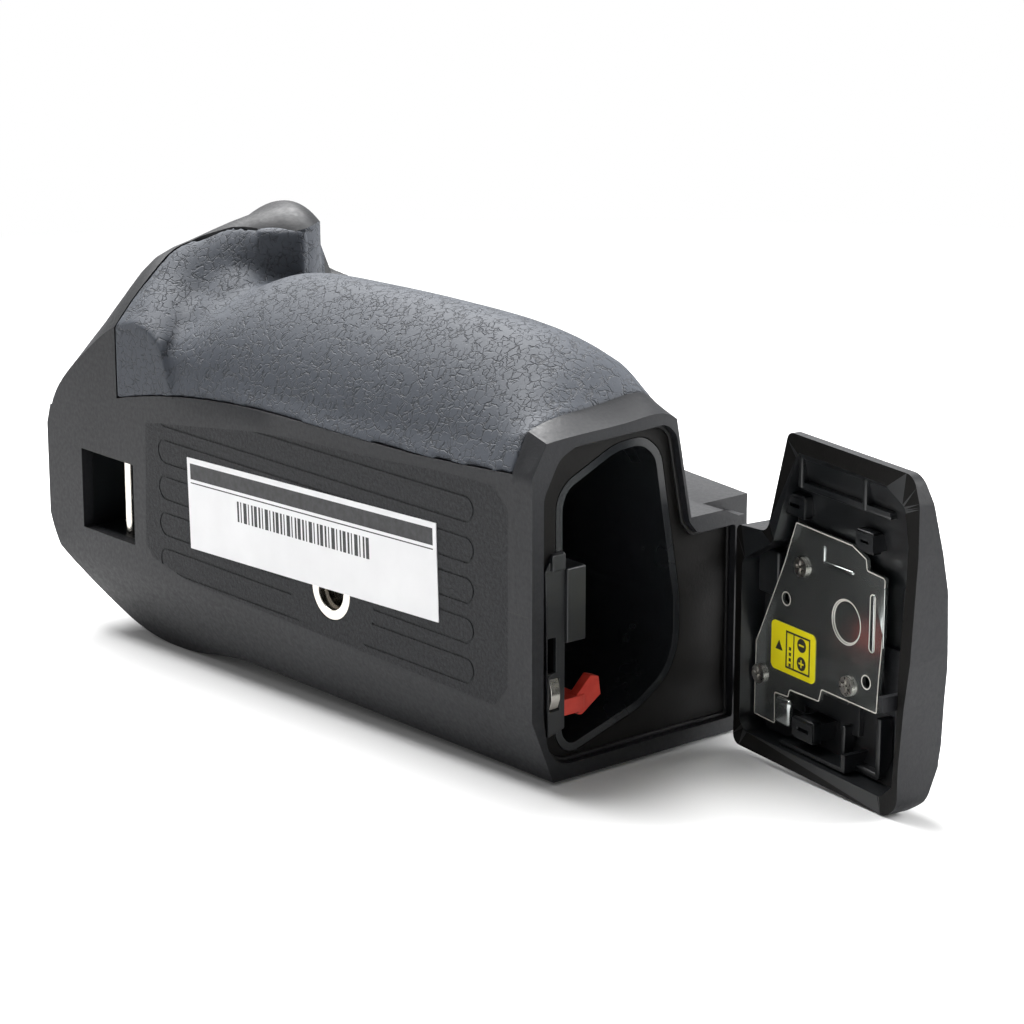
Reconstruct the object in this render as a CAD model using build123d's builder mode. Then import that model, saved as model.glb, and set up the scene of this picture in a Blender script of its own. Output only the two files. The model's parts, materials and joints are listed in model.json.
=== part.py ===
from build123d import *
import os
from math import sin, cos, radians, hypot

# Vertical battery grip for an interchangeable lens camera, lying on its back with the battery door open.
# Millimetres. Origin: centre of the tripod socket's mouth on the base face.
# +X runs along the grip to the battery door, -Y is out of the base face, +Z is the grip's front.

os.makedirs("parts", exist_ok=True)

# Overall sizes
socket_to_door = 48.0
socket_to_left = 80.5
base_to_camera = 47.0
socket_to_back = 19.5
socket_to_step = 15.5
grip_depth = 31.5
ridge_height = 44.6
hook_height = 51.7
back_chamfer_start = 9.3
back_chamfer_run = 4.2
shell_split = 6.3
shell_wall = 2.2
rubber_thickness = 1.4
pod_rubber_thickness = 2.0
fit_gap = 0.3
glue_gap = 0.1
overrun = 2.0

# Base pad, label and strap pocket
pad_thickness = 1.2
pad_left = 51.0
pad_right = 42.6
pad_corner = 3.0
groove_depth = 0.35
groove_pitch = 6.2
bar_height = 4.2
bar_left = 46.6
bar_right = 35.0
bar_count = 5
label_width = 64.4
label_height = 15.1
label_thickness = 0.12
label_tilt = 2.0
label_centre_x = -5.3
label_centre_z = 7.6
label_corner = 1.2
pocket_width = 15.6
pocket_height = 13.9
pocket_depth = 8.0
pocket_centre_x = -62.1
pocket_centre_z = 2.5
pocket_wall = 1.0
strap_bar_thickness = 2.0

# Tripod socket, quarter inch thread
socket_ring_radius = 4.8
socket_bore_radius = 3.175
socket_length = 5.6
socket_flange_radius = 7.0
socket_flange_thickness = 1.2
chassis_thickness = 1.2

# Battery chamber
seat_recess = 1.4
seat_corner = 5.0
mouth_corner = 4.0
seal_width = 0.6
seal_proud = 0.3
bezel_thickness = 2.0
chamber_wall = 1.2
chamber_depth = 54.0

# Battery door and its hinge
hinge_out = 7.2
hinge_y = 42.0
door_open_angle = 81.5
door_gap = 0.3
door_length = 43.0
door_liner = 0.8
latch_travel = 2.5
latch_plate_thickness = 0.8
latch_knob_length = 8.0
latch_knob_width = 6.0
latch_knob_height = 1.2
latch_stem = 2.0
hook_thickness = 1.0
hook_width = 2.2
hook_reach = 9.0
paddle_thickness = 1.6
leaf_thickness = 0.3
door_plate_thickness = 0.6
door_plate_height = 4.5
door_top = 32.0
door_corner = 3.0
screw_head_radius = 1.5
screw_shank_radius = 0.7
screw_head_height = 0.5
hinge_pin_radius = 1.0
hinge_play = 0.05
knuckle_radius = 1.9
knuckle_low = -9.7
knuckle_high = 4.7
arm_width = 5.0
coil_low = -4.0
coil_length = 4.0
coil_wire = 0.22
hinge_relief = 4.0
hinge_back_y = 42.8

# Camera side
plate_thickness = 2.0
screw_thread_radius = 3.175
screw_height = 5.0
screw_z = -4.0
wheel_radius = 16.0
wheel_thickness = 5.0
wheel_top_gap = 2.6
pin_radius = 1.9
pin_height = 3.0
pin_shank_radius = 2.3
neck_share = 0.85
pin_spacing = 40.0
connector_length = 22.0
connector_width = 7.0
connector_height = 4.0

# Controls
control_seat_depth = 1.6
control_seat_radius = 8.4
shutter_radius = 4.6
shutter_travel = 1.2
lever_ring_height = 2.2
dial_radius = 6.0
dial_width = 5.0
rear_dial_radius = 8.0
dial_proud = 1.0
dial_shaft_radius = 1.25
button_radius = 3.4
small_button_radius = 2.3
stick_radius = 3.0
stick_cap_radius = 2.6
button_travel = 0.6
button_proud = 0.9
board_depth = 6.0
board_thickness = 1.0

length_all = socket_to_door + socket_to_left
bezel_x = socket_to_door - seat_recess
hinge_x = socket_to_door + hinge_out
rim_height = hinge_out - door_gap
chamber_back_x = bezel_x - bezel_thickness - chamber_depth


def points(shares, across, up):
    return [(a * across, b * up) for a, b in shares]


def save(part, name):
    part.label = name
    export_step(part, "parts/" + name + ".step")


# Planes: base sketches are drawn as (X, Z), end sketches as (Y, Z)
def base_plane(y):
    return Plane(origin=(0, y, 0), x_dir=(1, 0, 0), z_dir=(0, -1, 0))


def end_plane(x):
    return Plane(origin=(x, 0, 0), x_dir=(0, 1, 0), z_dir=(1, 0, 0))


# The footprint block under the camera body, with the thumb bulge on its back
bulge_shares = ((-0.42, -1.03), (-0.53, -1.115), (-0.635, -1.15), (-0.735, -1.10),
                (-0.83, -0.91), (-0.92, -0.645))


def block_form(inset, top):
    left = socket_to_left - inset
    right = socket_to_door - inset
    back = socket_to_back - inset
    step = socket_to_step - inset
    bulge = points(bulge_shares, left, back)
    with BuildPart() as form:
        with BuildSketch(base_plane(inset)):
            with BuildLine():
                start = Line((right, -back), (-0.32 * left, -back))
                curve = Spline(start @ 1, *bulge, (-left, -0.2 * back), tangents=((-1, 0), (-0.35, 1)))
                Polyline(curve @ 1, (-left, 0.78 * step), (-0.985 * left, step), (-0.6 * left, 1.12 * step),
                         (0.62 * right, 1.12 * step), (right, 1.04 * step), (right, -back))
            make_face()
        extrude(amount=inset - top)
        slope = back_chamfer_run / (socket_to_back - back_chamfer_start)
        drop = 1.6 * (socket_to_back - back_chamfer_start)
        shift = inset * 1.1
        with BuildSketch(end_plane(-socket_to_left - overrun)):
            with BuildLine():
                Polyline((shift, -back_chamfer_start), (shift + slope * drop, -back_chamfer_start - drop),
                         (-overrun, -back_chamfer_start - drop), (-overrun, -back_chamfer_start),
                         close=True)
            make_face()
        extrude(amount=length_all + 2 * overrun, mode=Mode.SUBTRACT)
    return form.part


# The hand grip: stations along X as shares of the door end's distance, points as shares of depth and ridge
station_shares = (1.0, 0.917, 0.79, 0.58, 0.2, -0.27, -0.62, -0.79, -0.96)
section_shares = (
    ((0, 0.612), (0.086, 0.719), (0.254, 0.727), (0.444, 0.731), (0.635, 0.738), (0.80, 0.742),
     (0.895, 0.713)),
    ((0, 0.612), (0.089, 0.742), (0.254, 0.765), (0.444, 0.771), (0.635, 0.784), (0.79, 0.788),
     (0.898, 0.735)),
    ((0, 0.601), (0.073, 0.695), (0.222, 0.807), (0.413, 0.872), (0.603, 0.901), (0.762, 0.896),
     (0.898, 0.793)),
    ((0, 0.592), (0.057, 0.661), (0.190, 0.818), (0.365, 0.928), (0.540, 0.980), (0.698, 0.970),
     (0.873, 0.836)),
    ((0, 0.578), (0.048, 0.639), (0.175, 0.818), (0.349, 0.937), (0.540, 1.0), (0.698, 0.987),
     (0.883, 0.841)),
    ((0, 0.572), (0.048, 0.628), (0.175, 0.807), (0.349, 0.930), (0.540, 0.998), (0.698, 0.982),
     (0.883, 0.841)),
    ((0, 0.552), (0.048, 0.641), (0.175, 0.807), (0.349, 0.915), (0.540, 0.973), (0.698, 0.962),
     (0.883, 0.830)),
    ((0, 0.534), (0.041, 0.661), (0.159, 0.785), (0.317, 0.863), (0.508, 0.908), (0.667, 0.901),
     (0.873, 0.796)),
    ((0, 0.493), (0.038, 0.650), (0.159, 0.740), (0.317, 0.785), (0.508, 0.807), (0.667, 0.807),
     (0.857, 0.740)),
)


def eased(stations, tables, steps):
    fine_stations = []
    fine_tables = []
    last = len(stations) - 1
    for i in range(last):
        before = max(i - 1, 0)
        after = min(i + 2, last)
        reach = stations[i + 1] - stations[i]
        for k in range(steps):
            t = k / steps
            row = []
            for p, a, b, n in zip(tables[before], tables[i], tables[i + 1], tables[after]):
                spot = []
                for v in (0, 1):
                    start = (b[v] - p[v]) / (stations[i + 1] - stations[before]) * reach
                    end = (n[v] - a[v]) / (stations[after] - stations[i]) * reach
                    rise = b[v] - a[v]
                    spot.append(a[v] + start * t + (3 * rise - 2 * start - end) * t**2
                                + (start + end - 2 * rise) * t**3)
                row.append(tuple(spot))
            fine_stations.append(stations[i] + reach * t)
            fine_tables.append(tuple(row))
    return fine_stations + [stations[last]], fine_tables + [tables[last]]


def toward(point, centre, inset):
    dy = centre[0] - point[0]
    dz = centre[1] - point[1]
    reach = hypot(dy, dz)
    return (point[0] + dy * inset / reach, point[1] + dz * inset / reach)


def grip_form(inset):
    centre = (0.5 * grip_depth, socket_to_step)
    foot_z = 0.2 * socket_to_step
    end_shares, end_tables = station_shares[:1], section_shares[:1]
    fine_shares, fine_tables = eased(station_shares[1:], section_shares[1:], 3)
    with BuildPart() as form:
        for share, table in zip(list(end_shares) + fine_shares, list(end_tables) + fine_tables):
            shrink = inset if share == station_shares[0] else 0
            outline = [toward(p, centre, inset) for p in points(table, grip_depth, ridge_height)]
            with BuildSketch(end_plane(share * socket_to_door - shrink)):
                with BuildLine():
                    side = Line((inset, foot_z), outline[0])
                    rise = Line(side @ 1, outline[1])
                    crown = Spline(*outline[1:])
                    Polyline(crown @ 1, (grip_depth - inset, socket_to_step), (grip_depth - inset, foot_z),
                             (inset, foot_z))
                make_face()
        loft(ruled=True)
    return form.part


# The shutter pod at the far end, whose front lip curls into a finger hook: outlines at stations along Y
pod_station_shares = (0, 0.106, 0.234, 0.383, 0.511, 0.617, 0.766, 1.0)
pod_shares = (
    ((-0.988, 0.193), (-0.975, 0.315), (-0.914, 0.428), (-0.827, 0.531), (-0.742, 0.615), (-0.658, 0.655),
     (-0.56, 0.60)),
    ((-1, 0.232), (-0.984, 0.368), (-0.925, 0.493), (-0.839, 0.619), (-0.758, 0.716), (-0.677, 0.735),
     (-0.584, 0.667)),
    ((-1, 0.232), (-0.984, 0.387), (-0.925, 0.532), (-0.845, 0.687), (-0.745, 0.832), (-0.671, 0.812),
     (-0.602, 0.725)),
    ((-1, 0.232), (-0.984, 0.397), (-0.919, 0.571), (-0.82, 0.764), (-0.714, 0.890), (-0.617, 0.934),
     (-0.54, 0.890)),
    ((-1, 0.232), (-0.984, 0.397), (-0.919, 0.580), (-0.814, 0.793), (-0.683, 0.928), (-0.547, 0.998),
     (-0.462, 0.948)),
    ((-1, 0.232), (-0.984, 0.397), (-0.919, 0.588), (-0.825, 0.80), (-0.708, 0.950), (-0.602, 1.0),
     (-0.494, 0.953)),
    ((-1, 0.232), (-0.984, 0.387), (-0.925, 0.551), (-0.84, 0.735), (-0.752, 0.870), (-0.677, 0.904),
     (-0.609, 0.858)),
    ((-1, 0.232), (-0.984, 0.358), (-0.932, 0.480), (-0.851, 0.585), (-0.770, 0.645), (-0.700, 0.660),
     (-0.634, 0.630)),
)
pod_foot_shares = (-0.485, -0.485, -0.51, -0.50, -0.460, -0.485, -0.592, -0.61)


def pod_form(inset):
    centre = (-0.6 * socket_to_left, 0.5 * socket_to_step)
    tables = [table + ((foot, 0),) for table, foot in zip(pod_shares, pod_foot_shares)]
    fine_shares, fine_tables = eased(pod_station_shares, tables, 3)
    with BuildPart() as form:
        for share, table in zip(fine_shares, fine_tables):
            top = [toward(p, centre, inset) for p in points(table[:-1], socket_to_left, hook_height)]
            foot = table[-1][0] * socket_to_left - inset
            with BuildSketch(base_plane(max(share * base_to_camera, inset))):
                with BuildLine():
                    Line((inset - socket_to_left, 0), top[0])
                    crown = Spline(*top)
                    Polyline(crown @ 1, (foot, socket_to_step), (foot, 0), (inset - socket_to_left, 0))
                make_face()
        loft(ruled=True)
    return form.part


# Outline of the recessed seat round the battery chamber, and of the chamber's mouth, as (Y, Z)
seat_shares = ((0.115, -0.882), (0.07, -0.46), (0.07, 1.55), (0.165, 1.90), (0.27, 1.99), (0.83, 2.02),
               (0.895, 1.90), (0.985, 1.0), (1.04, 0.87), (1.29, 0.87), (1.29, -0.882))
mouth_shares = ((0.222, -0.84), (0.222, 1.53), (0.556, 1.83), (0.714, 1.845), (0.80, 1.70), (0.93, 0.22),
                (0.93, -0.20), (0.873, -0.484), (0.698, -0.71), (0.27, -0.97))
seat_outline = [(a * grip_depth, b * (socket_to_back if b < 0 else socket_to_step)) for a, b in seat_shares]
mouth_outline = [(a * grip_depth, b * socket_to_step) for a, b in mouth_shares]
seat_round = [share * seat_corner for share in (1, 2, 0.8, 0.8, 0.8, 0.6, 0.6, 0.3, 0.2, 0.1, 0.1)]
mouth_round = [share * mouth_corner for share in (0.5, 1, 2.5, 1, 1, 2.5, 2.5, 2, 2.5, 0.5)]


def prism(outline, rounds, x_from, x_to, grow):
    with BuildPart() as form:
        with BuildSketch(end_plane(x_from)):
            with BuildLine():
                FilletPolyline(*outline, radius=rounds, close=True)
            make_face()
            if grow:
                offset(amount=grow, kind=Kind.INTERSECTION, mode=Mode.REPLACE)
        extrude(amount=x_to - x_from)
    return form.part


# Whole outer form and its hollow
plate_bottom = base_to_camera - plate_thickness
block_outer = block_form(0, base_to_camera)
grip_outer = grip_form(0)
grip_core = grip_form(rubber_thickness)
pod_outer = pod_form(0)
pod_core = pod_form(pod_rubber_thickness)

# Beside the hinge the end face falls away in a slope
end_notch_shares = ((0.775, 1.3), (0.775, 1.09), (0.878, 0.95), (0.96, 0.95), (0.96, 1.3))

with BuildPart() as outer_form:
    add(block_outer)
    add(grip_outer)
    add(pod_outer)
    with BuildSketch(base_plane(hinge_back_y - fit_gap)):
        with Locations((socket_to_door, 0)):
            Rectangle(2 * hinge_relief, 4 * socket_to_back)
    extrude(amount=-socket_to_back, mode=Mode.SUBTRACT)
    with BuildSketch(end_plane(socket_to_door - hinge_relief)):
        with BuildLine():
            Polyline(*points(end_notch_shares, base_to_camera, socket_to_step), close=True)
        make_face()
    extrude(amount=2 * hinge_relief, mode=Mode.SUBTRACT)

pod_hollow_x = 0.925 * socket_to_left
pod_hollow_to = 0.58 * socket_to_left
pod_hollow_y = 0.09 * base_to_camera
pod_hollow_z = 0.50 * hook_height
end_wall_x = bezel_x - bezel_thickness - shell_wall

with BuildPart() as hollow:
    add(block_form(shell_wall, plate_bottom + overrun))
    add(grip_form(shell_wall + rubber_thickness))
    with BuildSketch(base_plane(pod_hollow_y)):
        with BuildLine():
            Polyline((-pod_hollow_x, 0), (-pod_hollow_x, 0.6 * pod_hollow_z),
                     (-0.9 * pod_hollow_x, pod_hollow_z),
                     (-pod_hollow_to, pod_hollow_z), (-pod_hollow_to, 0), close=True)
        make_face()
    extrude(amount=pod_hollow_y - plate_bottom - overrun)
    with BuildSketch(end_plane(end_wall_x)):
        Rectangle(6 * grip_depth, 6 * socket_to_back)
    extrude(amount=socket_to_left, mode=Mode.SUBTRACT)

chamber_outer = prism(mouth_outline, mouth_round, chamber_back_x - chamber_wall - glue_gap,
                      socket_to_door + overrun, chamber_wall + glue_gap)
seat_cut = prism(seat_outline, seat_round, bezel_x - bezel_thickness, socket_to_door + overrun, 0)

# The grip rubber, bounded by its seam on the base face and by the door frame
seam_shares = ((-1.22, 1.30), (-0.72, 1.565), (-0.34, 1.64), (0.02, 1.65), (0.36, 1.66), (0.69, 1.705),
               (0.905, 1.75))
rubber_right_share = 0.908

with BuildPart() as rubber_zone:
    with BuildSketch(base_plane(-overrun)):
        with BuildLine():
            seam = Spline(*points(seam_shares, socket_to_door, socket_to_step))
            Polyline(seam @ 1, (rubber_right_share * socket_to_door, (seam @ 1).Y),
                     (rubber_right_share * socket_to_door, 2 * ridge_height),
                     ((seam @ 0).X, 2 * ridge_height), seam @ 0)
        make_face()
    extrude(amount=-(grip_depth + 2 * overrun))

# The rubber also lines the finger scoop in front of the pod's crest
crest_shares = ((-0.745, 0.20), (-0.72, 0.29), (-0.686, 0.34), (-0.617, 0.383), (-0.53, 0.425),
                (-0.425, 0.46),
                (-0.425, 0.72))

with BuildPart() as scoop_zone:
    with BuildSketch(Plane.XY):
        crest_line = points(crest_shares, socket_to_left, base_to_camera)
        scoop_right = rubber_right_share * socket_to_door
        with BuildLine():
            Polyline((crest_line[0][0], -overrun), *crest_line, (scoop_right, crest_line[-1][1]),
                     (scoop_right, -overrun), close=True)
        make_face()
    extrude(amount=2 * hook_height)

with BuildPart() as rubber_blank:
    add(grip_outer)
    add(pod_outer)
    add(rubber_zone.part, mode=Mode.INTERSECT)
    add(scoop_zone.part, mode=Mode.INTERSECT)
    add(grip_core, mode=Mode.SUBTRACT)
    add(pod_core, mode=Mode.SUBTRACT)
with BuildPart() as front_grip_rubber:
    add(rubber_blank.part.solids().sort_by(SortBy.VOLUME)[-1])
save(front_grip_rubber.part, "front_grip_rubber")


# The base pad: a finely textured sheet let into the base face, with its raised bars between grooves
pad_top_shares = ((-0.983, 1.136), (-0.68, 1.27), (-0.25, 1.44), (0.27, 1.51), (0.73, 1.587), (0.93, 1.587))
pad_bottom = back_chamfer_start - seal_width


def pad_form(grow):
    with BuildPart() as form:
        with BuildSketch(base_plane(0)):
            with BuildLine():
                top = Spline(*[(a * pad_left if a < 0 else a * pad_right, b * socket_to_step)
                               for a, b in pad_top_shares])
                Polyline(top @ 1, (pad_right, 1.40 * socket_to_step),
                         (pad_right, 0.35 - pad_bottom + pad_corner),
                         (pad_right - pad_corner, -pad_bottom), (-0.76 * pad_left, -0.84 * pad_bottom),
                         (-0.96 * pad_left, -0.62 * pad_bottom), (-pad_left, -0.38 * pad_bottom), top @ 0)
            make_face()
            if grow:
                offset(amount=grow, mode=Mode.REPLACE)
        extrude(amount=-pad_thickness)
        with BuildSketch(base_plane(-overrun)):
            Circle(socket_ring_radius + grow + glue_gap)
        extrude(amount=-(pad_thickness + 2 * overrun), mode=Mode.SUBTRACT)
    return form.part


pad_recess = pad_form(0)
bar_top = 0.95 * socket_to_step + bar_height + 0.5 * groove_pitch
with BuildPart() as base_pad:
    add(pad_recess)
    with BuildSketch(base_plane(0)):
        for row in range(bar_count):
            with Locations((0.5 * (bar_right - bar_left), bar_top - row * groove_pitch - 0.5 * bar_height)):
                SlotOverall(bar_left + bar_right, bar_height)
                SlotOverall(bar_left + bar_right - 2 * groove_depth, bar_height - 2 * groove_depth,
                            mode=Mode.SUBTRACT)
        Circle(socket_ring_radius + 2 * pad_corner, mode=Mode.SUBTRACT)
    extrude(amount=-groove_depth, mode=Mode.SUBTRACT)
save(base_pad.part, "base_pad")

with BuildPart() as rating_label:
    with BuildSketch(base_plane(-label_thickness)):
        with Locations(Location((label_centre_x, label_centre_z), label_tilt)):
            RectangleRounded(label_width, label_height, label_corner)
        Circle(socket_ring_radius + glue_gap, mode=Mode.SUBTRACT)
    extrude(amount=-label_thickness)
save(rating_label.part, "rating_label")

# Strap pocket: an opening through both shells with a liner behind it and a metal bar across it
pocket_frame = pocket_width + 2 * pocket_wall + 2 * fit_gap
pocket_frame_height = pocket_height + 2 * pocket_wall + 2 * fit_gap
pocket_top_y = shell_wall + glue_gap
strap_bar_x = pocket_centre_x + 0.03 * pocket_width
strap_bar_y = pocket_top_y + strap_bar_thickness

with BuildPart() as strap_pocket:
    with BuildSketch(base_plane(pocket_top_y)):
        with Locations((pocket_centre_x, pocket_centre_z)):
            Rectangle(pocket_frame, pocket_frame_height)
    extrude(amount=-pocket_depth)
    with BuildSketch(base_plane(pocket_top_y)):
        with Locations((pocket_centre_x, pocket_centre_z)):
            Rectangle(pocket_width + 2 * fit_gap, pocket_height + 2 * fit_gap)
    extrude(amount=pocket_wall - pocket_depth, mode=Mode.SUBTRACT)
    with BuildSketch(Plane.XY.offset(pocket_centre_z - pocket_height)):
        with Locations((strap_bar_x, strap_bar_y)):
            Circle(0.5 * strap_bar_thickness)
    extrude(amount=2 * pocket_height, mode=Mode.SUBTRACT)
save(strap_pocket.part, "strap_pocket")

with BuildPart() as strap_bar:
    with BuildSketch(Plane.XY.offset(pocket_centre_z - 0.5 * pocket_frame_height)):
        with Locations((strap_bar_x, strap_bar_y)):
            Circle(0.5 * strap_bar_thickness)
    extrude(amount=pocket_frame_height)
save(strap_bar.part, "strap_bar")

# Tripod socket and the steel chassis strip that holds it
flange_y = shell_wall + glue_gap
chassis_y = flange_y + socket_flange_thickness
chassis_half = 0.86 * socket_to_door
chassis_low = 0.42 * socket_to_back
chassis_high = 0.75 * socket_to_step
boss_radius = 2.6
boss_hole_radius = 0.9
chassis_boss_x = (-0.62 * chassis_half, 0.62 * chassis_half)
chassis_boss_z = (-0.26 * socket_to_back, 0.58 * socket_to_step)
chassis_spots = [(x, z) for x in chassis_boss_x for z in chassis_boss_z]

with BuildPart() as tripod_socket:
    with BuildSketch(base_plane(0)):
        Circle(socket_ring_radius)
    extrude(amount=-socket_length)
    with BuildSketch(base_plane(flange_y)):
        Circle(socket_flange_radius)
    extrude(amount=-socket_flange_thickness)
    with BuildSketch(base_plane(-overrun)):
        Circle(socket_bore_radius)
    extrude(amount=-(socket_length + 2 * overrun), mode=Mode.SUBTRACT)
save(tripod_socket.part, "tripod_socket")

with BuildPart() as chassis_plate:
    with BuildSketch(base_plane(chassis_y)):
        with BuildLine():
            Polyline((-chassis_half, -chassis_low), (chassis_half, -chassis_low),
                     (chassis_half, chassis_high),
                     (-chassis_half, chassis_high), close=True)
        make_face()
        Circle(socket_ring_radius + glue_gap, mode=Mode.SUBTRACT)
        with Locations(*chassis_spots):
            Circle(boss_hole_radius, mode=Mode.SUBTRACT)
    extrude(amount=-chassis_thickness)
save(chassis_plate.part, "chassis_plate")


def screw_at(plane, spots, shank, shank_length, head, head_height):
    with BuildPart() as screws:
        with BuildSketch(plane):
            with Locations(*spots):
                Circle(head)
        extrude(amount=head_height)
        with BuildSketch(plane.offset(head_height)):
            with Locations(*spots):
                Rectangle(0.3 * head, 1.3 * head)
                Rectangle(1.3 * head, 0.3 * head)
        extrude(amount=-0.5 * head_height, mode=Mode.SUBTRACT)
        with BuildSketch(plane):
            with Locations(*spots):
                Circle(shank)
        extrude(amount=-shank_length)
    return screws.part


def facing_base_from(y):
    return Plane(origin=(0, y, 0), x_dir=(1, 0, 0), z_dir=(0, 1, 0))


chassis_screw_spots = [(x, -z) for x, z in chassis_spots]
chassis_screws = screw_at(facing_base_from(chassis_y + chassis_thickness), chassis_screw_spots,
                          boss_hole_radius, chassis_thickness + 0.8 * socket_flange_thickness,
                          2 * boss_hole_radius, 0.5 * chassis_thickness)
save(chassis_screws, "chassis_screws")

# The common shell, later split into a front and a rear half
window_width = 1.2 * wheel_radius
wheel_top = plate_bottom - wheel_top_gap
wheel_bottom = wheel_top - wheel_thickness

bevel_angle = 39.5
bevel_origin = (-0.9 * socket_to_left, 0, -0.70 * socket_to_back)
bevel = Plane(origin=bevel_origin, x_dir=(0, 1, 0),
              z_dir=(-sin(radians(bevel_angle)), 0, -cos(radians(bevel_angle))))
deck_angle = 52.3
deck_y = 0.575 * base_to_camera
deck_origin = (-0.868 * socket_to_left, deck_y, 0.705 * hook_height)
deck_normal = (-sin(radians(deck_angle)), 0, cos(radians(deck_angle)))
deck = Plane(origin=deck_origin, x_dir=(0, 1, 0), z_dir=deck_normal)
deck_seat = deck.offset(-control_seat_depth)

stick_y = 0.51 * base_to_camera
af_y = 0.30 * base_to_camera
small_y = 0.68 * base_to_camera
flat_from = 0.13 * base_to_camera
flat_to = 0.765 * base_to_camera
flat_width = 11.0
rear_dial_y = 0.82 * base_to_camera
dial_depth = rear_dial_radius - dial_proud
rear_dial_centre = (bevel_origin[0] + dial_depth * sin(radians(bevel_angle)),
                    bevel_origin[2] + dial_depth * cos(radians(bevel_angle)))
control_posts = [(y * base_to_camera, side * 0.42 * flat_width) for y in (0.408, 0.604) for side in (-1, 1)]
control_post_radius = 1.1
control_screw_radius = 0.5
front_dial_centre_y = 0.77 * base_to_camera
front_dial_centre_z = 0.74 * hook_height
front_dial_x = -0.745 * socket_to_left
shutter_well = 5.0
shutter_stem_radius = 1.5
shutter_stem_length = 3.2
switch_height = 0.3

screw_boss_x = (0.79 * socket_to_door, -0.32 * socket_to_left)
rear_boss_z = -0.79 * socket_to_back
front_boss_z = 0.86 * socket_to_step
screw_boss_radius = 2.4
screw_boss_length = 8.0
cover_spots = [(x, z) for x in screw_boss_x for z in (rear_boss_z, front_boss_z)]

arm_strap = 3.2
bracket_x = socket_to_door - hinge_relief
hinge_screw_y = hinge_back_y + 0.4 * arm_strap
hinge_screw_spots = [(hinge_screw_y, z * socket_to_back) for z in (-0.31, 0.03)]

with BuildPart() as shell:
    add(outer_form.part)
    add(hollow.part, mode=Mode.SUBTRACT)
    add(chamber_outer, mode=Mode.SUBTRACT)
    add(seat_cut, mode=Mode.SUBTRACT)
    add(front_grip_rubber.part, mode=Mode.SUBTRACT)
    with BuildSketch(facing_base_from(plate_bottom)):
        Rectangle(4 * socket_to_left, 4 * hook_height)
    extrude(amount=2 * plate_thickness, mode=Mode.SUBTRACT)
    with BuildSketch(base_plane(shell_wall)):
        with Locations(*chassis_spots):
            Circle(boss_radius)
    extrude(amount=shell_wall - chassis_y)
    with BuildSketch(base_plane(chassis_y)):
        with Locations(*chassis_spots):
            Circle(boss_hole_radius)
    extrude(amount=0.8 * socket_flange_thickness, mode=Mode.SUBTRACT)
    add(pad_recess, mode=Mode.SUBTRACT)
    with BuildSketch(base_plane(-overrun)):
        Circle(socket_ring_radius + glue_gap)
        with Locations((pocket_centre_x, pocket_centre_z)):
            Rectangle(pocket_width, pocket_height)
    extrude(amount=-(shell_wall + 2 * overrun), mode=Mode.SUBTRACT)
    with BuildSketch(base_plane(wheel_bottom - fit_gap)):
        with Locations((0, -socket_to_back)):
            Rectangle(window_width, 3 * shell_wall)
    extrude(amount=-(wheel_thickness + 2 * fit_gap), mode=Mode.SUBTRACT)
    with BuildSketch(deck_seat):
        Circle(control_seat_radius + glue_gap)
    extrude(amount=2 * control_seat_radius, mode=Mode.SUBTRACT)
    with BuildSketch(deck_seat):
        Circle(shutter_radius + fit_gap)
    extrude(amount=-shutter_well, mode=Mode.SUBTRACT)
    with BuildSketch(deck_seat):
        Circle(shutter_stem_radius + glue_gap)
    extrude(amount=-(shutter_well + shutter_stem_length), mode=Mode.SUBTRACT)
    with BuildSketch(end_plane(front_dial_x - 0.5 * dial_width - fit_gap)):
        with Locations((front_dial_centre_y, front_dial_centre_z)):
            Circle(dial_radius + fit_gap)
    extrude(amount=dial_width + 2 * fit_gap, mode=Mode.SUBTRACT)
    with BuildSketch(end_plane(front_dial_x - dial_width)):
        with Locations((front_dial_centre_y, front_dial_centre_z)):
            Circle(dial_shaft_radius)
    extrude(amount=2 * dial_width, mode=Mode.SUBTRACT)
    with BuildSketch(base_plane(rear_dial_y - 0.5 * dial_width - fit_gap)):
        with Locations(rear_dial_centre):
            Circle(rear_dial_radius + fit_gap)
    extrude(amount=-(dial_width + 2 * fit_gap), mode=Mode.SUBTRACT)
    with BuildSketch(bevel):
        with Locations((0.5 * (flat_from + flat_to), 0)):
            Rectangle(flat_to - flat_from, flat_width)
    extrude(amount=2 * shell_wall, mode=Mode.SUBTRACT)
    with BuildSketch(bevel.offset(overrun)):
        with Locations((af_y, 0)):
            Circle(button_radius + glue_gap)
        with Locations((small_y, 0)):
            Circle(small_button_radius + glue_gap)
        with Locations((stick_y, 0)):
            Circle(stick_radius + 2 * fit_gap)
    extrude(amount=-(overrun + 2 * shell_wall), mode=Mode.SUBTRACT)
    with BuildSketch(bevel.offset(-board_depth)):
        with Locations(*control_posts):
            Circle(control_post_radius)
    extrude(amount=board_depth - 0.5 * shell_wall)
    with BuildSketch(bevel.offset(-board_depth)):
        with Locations(*control_posts):
            Circle(control_screw_radius)
    extrude(amount=2 * control_post_radius, mode=Mode.SUBTRACT)
    with BuildSketch(end_plane(end_wall_x - overrun)):
        with Locations(*hinge_screw_spots):
            Circle(screw_shank_radius)
    extrude(amount=socket_to_door, mode=Mode.SUBTRACT)
    with BuildSketch(base_plane(plate_bottom)):
        with Locations(*cover_spots):
            Circle(screw_boss_radius)
    extrude(amount=screw_boss_length)
    with BuildSketch(base_plane(plate_bottom)):
        with Locations(*cover_spots):
            Circle(boss_hole_radius)
    extrude(amount=0.6 * screw_boss_length, mode=Mode.SUBTRACT)

with BuildPart() as front_shell:
    add(shell.part)
    split(bisect_by=Plane.XY.offset(shell_split), keep=Keep.TOP)
save(front_shell.part, "front_shell")

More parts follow.
